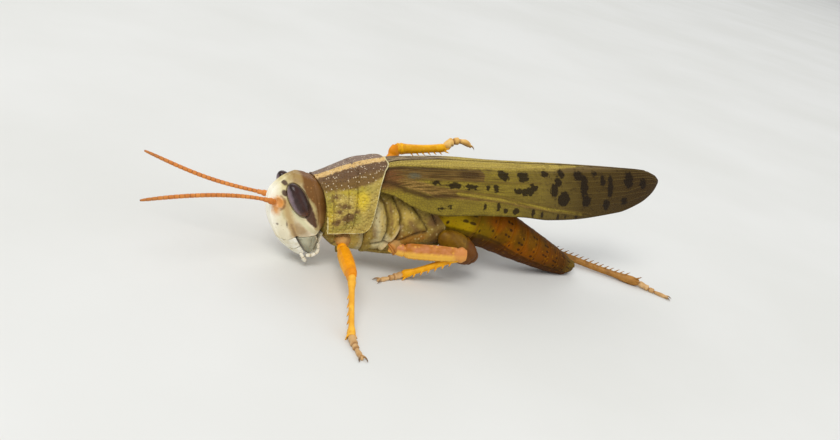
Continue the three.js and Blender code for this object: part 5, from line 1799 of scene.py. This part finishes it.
def build_stub(finish):
    """The left hind leg is shed, so its hip is a rounded stub with a scar round its blunt end."""
    node = "hind_left_coxa"
    turn = (Matrix(TILT.tolist()) @ Matrix.Rotation(radians(36), 3, "Y")).to_euler()
    centre = box_middle(node) + TILT @ np.array((1.5, 0, -0.3))
    hip = oval_ball("hip_hind_left", centre, (3.9, 1.35, 1.95), turn, 44)
    axes = np.array(turn.to_matrix())

    def own(points):
        return ((points / MM - centre) @ axes).T

    def height(p):
        x, y, z = own(from_trunk(p))
        collar = 0.08 * ridge(x - 0.7 + 0.12 * z, 0.3) - 0.16 * ridge(x - 0.2 + 0.12 * z, 0.16)
        swell = 0.1 * ridge(z - 0.7, 0.5) - 0.1 * ridge(z + 0.25 * x - 0.3, 0.25)
        return collar + swell - 0.14 * ridge(x - 2.9, 0.15)

    carve(hip, height)
    x, y, z = own(coordinates(hip))
    lines = nearest(np.abs(x - 0.2 + 0.12 * z), np.abs(x - 2.9))
    paint(hip, {"low": 0.2 - x - 0.8 * (z < 0), "joint": lines - 0.08, "dots": np.ones(len(x))})
    set_coordinates(hip, on_the_floor(coordinates(hip)))
    finished(hip, finish, "leg", node)


# Each leg that the animal has: its upper side for the femur and the tibia, and where its spines point.
LEGS = (
    ("fore", "left", (0, 0, 1), (0, 0.2, 1), (-1, 5, 0.55)),
    ("fore", "right", (0.2, 0, 1), (0.2, 0, 1), (-1, 5, 0.55)),
    ("middle", "left", (0, 0, 1), (0, 0, 1), (-1, 6, 0.55)),
    ("middle", "right", (-0.4, 0, 1), (0, 0, 1), (-1, 6, 0.62)),
    ("hind", "right", (0, 0.45, 0.9), (0, 0.45, 0.9), (1, 9, 0.95)),
)


def build_legs():
    hips = leg_finish("Hip shell", "#c49654", "#a2753a", "#cc8538", "#71481f")
    stub = leg_finish("Shed hip shell", "#84600f", "#6b490b", "#643400", "#482a06")
    thighs = {
        "fore": leg_finish("Fore femur", "#ffab10", "#ee9408", "#fbb62a", "#d8800f"),
        # A duller copy of the femur finish for the lower middle femur, as painted shade.
        "middle": leg_finish("Shaded middle femur", "#c68258", "#b06c24", "#f0bb48", "#d08a4c"),
        "hind": leg_finish("Hind femur", "#b59a50", "#8f7234", "#c8a858", "#6a4824"),
    }
    shins = {
        "fore": leg_finish("Fore tibia", "#f0b43a", "#de9a26", "#f2be4c", "#c27a28"),
        "middle": leg_finish("Middle tibia", "#f4b414", "#de980e", "#f0bc38", "#d07c14"),
        "hind": leg_finish("Hind tibia", "#b07c3a", "#94662c", "#b58444", "#7a5228"),
    }
    feet = foot_finish("Foot", "#d6ae78", "#b88c54")
    # A paler copy of the foot finish for the raised foot, as painted light.
    lit_foot = foot_finish("Lit foot", "#f2c876", "#d8a452")
    for pair in HIP_RADIUS:
        for name, side in SIDES:
            if (pair, name) == ("hind", "left"):
                build_stub(stub)
            else:
                build_coxa(pair, name, side, hips)
    for pair, name, thigh_up, shin_up, spines in LEGS:
        label = f"{pair}_{name}"
        # The raised middle femur takes the bright fore femur finish as a painted lit copy.
        thigh = thighs["fore" if name == "right" and pair == "middle" else pair]
        knee = build_femur(label, box_middle(f"{label}_coxa"), thigh_up, thigh, pair)
        shin = centre_line(f"{label}_tibia", knee, 1)
        foot = centre_line(f"{label}_tarsus", shin(1.0), 2)
        end = RAISED_FOOT(0.0) if label == "middle_right" else foot(0.0)
        build_tibia(label, knee, end, shin_up, shins[pair], pair, spines)
        build_tarsus(label, shin(1.0), lit_foot if label == "middle_right" else feet)


# ---------------- floor, light and camera
CAMERA_TURN, CAMERA_RISE, CAMERA_ROLL = radians(-29.136), radians(24.0), radians(9.181)
CAMERA_TARGET = (-6.849, 0, 3.757)
CAMERA_DISTANCE = 141.937


def camera_matrix():
    """The place and turn of the camera, from its angles in trunk axes."""
    turn, rise, roll = CAMERA_TURN, CAMERA_RISE, CAMERA_ROLL
    back = np.array([sin(turn) * cos(rise), -cos(turn) * cos(rise), sin(rise)])
    level = np.array([cos(turn), sin(turn), 0])
    over = np.cross(back, level)
    right = cos(roll) * level + sin(roll) * over
    up = -sin(roll) * level + cos(roll) * over
    columns = [TILT @ axis for axis in (right, up, back)]
    place = from_trunk(np.array(CAMERA_TARGET) + back * CAMERA_DISTANCE)
    matrix = Matrix(np.array(columns).T.tolist()).to_4x4()
    matrix.translation = Vector(place)
    return matrix


def soft_light(name, place, target, size, energy, colour):
    bpy.ops.object.light_add(type="AREA", location=place)
    light = bpy.context.object
    light.name = name
    light.rotation_euler = (Vector(place) - Vector(target)).to_track_quat("Z", "Y").to_euler()
    light.data.size, light.data.energy, light.data.color = size, energy, colour


def build_stage(looks):
    pick_nothing()
    bpy.ops.mesh.primitive_plane_add(size=8.0, location=(0, 0, 0))
    floor = bpy.context.object
    floor.name = "floor"
    paper = Finish("Pale floor", "#dededb", "#d9d9d5", tone_scale=0.02, roughness=0.8)
    floor.data.materials.append(paper.done(pits=0.5, pit_depth=0.1, wrinkles=0.5, bump=0.02))

    middle = (0, 0, 0.008)
    soft_light("Key light", (-0.56, -0.56, 0.95), middle, 0.6, looks.key_power, (1.0, 0.985, 0.955))
    soft_light("Fill light", (0.9, -0.7, 0.5), middle, 0.9, looks.key_power * 0.22, (0.98, 0.99, 1.0))
    soft_light("Back light", (0.3, 0.95, 0.9), middle, 0.9, looks.key_power * 0.4, (1.0, 1.0, 1.0))

    world = bpy.data.worlds.new("Studio")
    world.use_nodes = True
    world.node_tree.nodes["Background"].inputs["Color"].default_value = (0.97, 0.985, 1.0, 1.0)
    world.node_tree.nodes["Background"].inputs["Strength"].default_value = looks.room_light
    bpy.context.scene.world = world

    bpy.ops.object.camera_add()
    camera = bpy.context.object
    camera.matrix_world = camera_matrix()
    camera.data.lens, camera.data.sensor_width = looks.lens, 36
    camera.data.clip_start, camera.data.clip_end = 0.005, 10
    bpy.context.scene.camera = camera
    bpy.context.scene.view_settings.view_transform = "Standard"


# ---------------- add-on
class GrasshopperLooks(bpy.types.PropertyGroup):
    """Sizes and colours that are likely to be changed."""

    eye_colour: bpy.props.FloatVectorProperty(
        name="Eye colour", description="Main colour of the compound eyes", subtype="COLOR", size=3,
        default=(0.055, 0.03, 0.028), min=0.0, max=1.0)
    lens: bpy.props.FloatProperty(
        name="Lens", description="Focal length of the camera on a 36 mm sensor, in millimetres",
        default=43.456, min=10.0, max=200.0)
    key_power: bpy.props.FloatProperty(
        name="Key light", description="Power of the main light; the others follow it", subtype="POWER",
        default=8.6, min=0.0, max=200.0)
    room_light: bpy.props.FloatProperty(
        name="Room light", description="Strength of the even light from all round",
        default=0.62, min=0.0, max=10.0)


class GRASSHOPPER_OT_head(bpy.types.Operator):
    """Adds the head capsule, the mouth plates and the jaws."""

    bl_idname = "grasshopper.head"
    bl_label = "Head"
    bl_options = {"REGISTER", "UNDO"}

    def execute(self, context):
        build_head()
        return {"FINISHED"}


class GRASSHOPPER_OT_eyes(bpy.types.Operator):
    """Adds the two compound eyes."""

    bl_idname = "grasshopper.eyes"
    bl_label = "Eyes"
    bl_options = {"REGISTER", "UNDO"}

    def execute(self, context):
        build_eyes(context.scene.grasshopper)
        return {"FINISHED"}


class GRASSHOPPER_OT_feelers(bpy.types.Operator):
    """Adds the two jointed feelers."""

    bl_idname = "grasshopper.feelers"
    bl_label = "Feelers"
    bl_options = {"REGISTER", "UNDO"}

    def execute(self, context):
        build_feelers()
        return {"FINISHED"}


class GRASSHOPPER_OT_palps(bpy.types.Operator):
    """Adds the four palps beside the mouth."""

    bl_idname = "grasshopper.palps"
    bl_label = "Palps"
    bl_options = {"REGISTER", "UNDO"}

    def execute(self, context):
        build_palps()
        return {"FINISHED"}


class GRASSHOPPER_OT_pronotum(bpy.types.Operator):
    """Adds the saddle-shaped shield behind the head."""

    bl_idname = "grasshopper.pronotum"
    bl_label = "Pronotum"
    bl_options = {"REGISTER", "UNDO"}

    def execute(self, context):
        build_pronotum()
        return {"FINISHED"}


class GRASSHOPPER_OT_thorax(bpy.types.Operator):
    """Adds the side plates of the thorax and the plate under the neck."""

    bl_idname = "grasshopper.thorax"
    bl_label = "Thorax"
    bl_options = {"REGISTER", "UNDO"}

    def execute(self, context):
        build_thorax()
        return {"FINISHED"}


class GRASSHOPPER_OT_abdomen(bpy.types.Operator):
    """Adds the rings of the abdomen, its end and the two cerci."""

    bl_idname = "grasshopper.abdomen"
    bl_label = "Abdomen"
    bl_options = {"REGISTER", "UNDO"}

    def execute(self, context):
        build_abdomen()
        return {"FINISHED"}


class GRASSHOPPER_OT_wings(bpy.types.Operator):
    """Adds the veined fore wings and the folded hind wings."""

    bl_idname = "grasshopper.wings"
    bl_label = "Wings"
    bl_options = {"REGISTER", "UNDO"}

    def execute(self, context):
        build_wings()
        return {"FINISHED"}


class GRASSHOPPER_OT_legs(bpy.types.Operator):
    """Adds the hips, femora, tibiae and feet."""

    bl_idname = "grasshopper.legs"
    bl_label = "Legs"
    bl_options = {"REGISTER", "UNDO"}

    def execute(self, context):
        build_legs()
        return {"FINISHED"}


class GRASSHOPPER_OT_stage(bpy.types.Operator):
    """Adds the floor, the lights, the room light and the camera."""

    bl_idname = "grasshopper.stage"
    bl_label = "Stage"
    bl_options = {"REGISTER", "UNDO"}

    def execute(self, context):
        build_stage(context.scene.grasshopper)
        return {"FINISHED"}


OPERATORS = (
    GRASSHOPPER_OT_stage, GRASSHOPPER_OT_head, GRASSHOPPER_OT_eyes, GRASSHOPPER_OT_feelers,
    GRASSHOPPER_OT_palps, GRASSHOPPER_OT_pronotum, GRASSHOPPER_OT_thorax, GRASSHOPPER_OT_abdomen,
    GRASSHOPPER_OT_wings, GRASSHOPPER_OT_legs,
)


class GRASSHOPPER_PT_panel(bpy.types.Panel):
    """Lists the steps that build the grasshopper and the values that they use."""

    bl_idname = "GRASSHOPPER_PT_panel"
    bl_label = "Grasshopper"
    bl_space_type = "VIEW_3D"
    bl_region_type = "UI"
    bl_category = "Grasshopper"

    def draw(self, context):
        looks = context.scene.grasshopper
        for name in GrasshopperLooks.__annotations__:
            self.layout.prop(looks, name)
        for step_class in OPERATORS:
            self.layout.operator(step_class.bl_idname)


CLASSES = (GrasshopperLooks, *OPERATORS, GRASSHOPPER_PT_panel)


def register():
    for cls in CLASSES:
        bpy.utils.register_class(cls)
    bpy.types.Scene.grasshopper = bpy.props.PointerProperty(type=GrasshopperLooks)


def unregister():
    del bpy.types.Scene.grasshopper
    for cls in reversed(CLASSES):
        bpy.utils.unregister_class(cls)


def main():
    register()
    for step_class in OPERATORS:
        group, name = step_class.bl_idname.split(".")
        getattr(getattr(bpy.ops, group), name)()


if __name__ == "__main__":
    main()
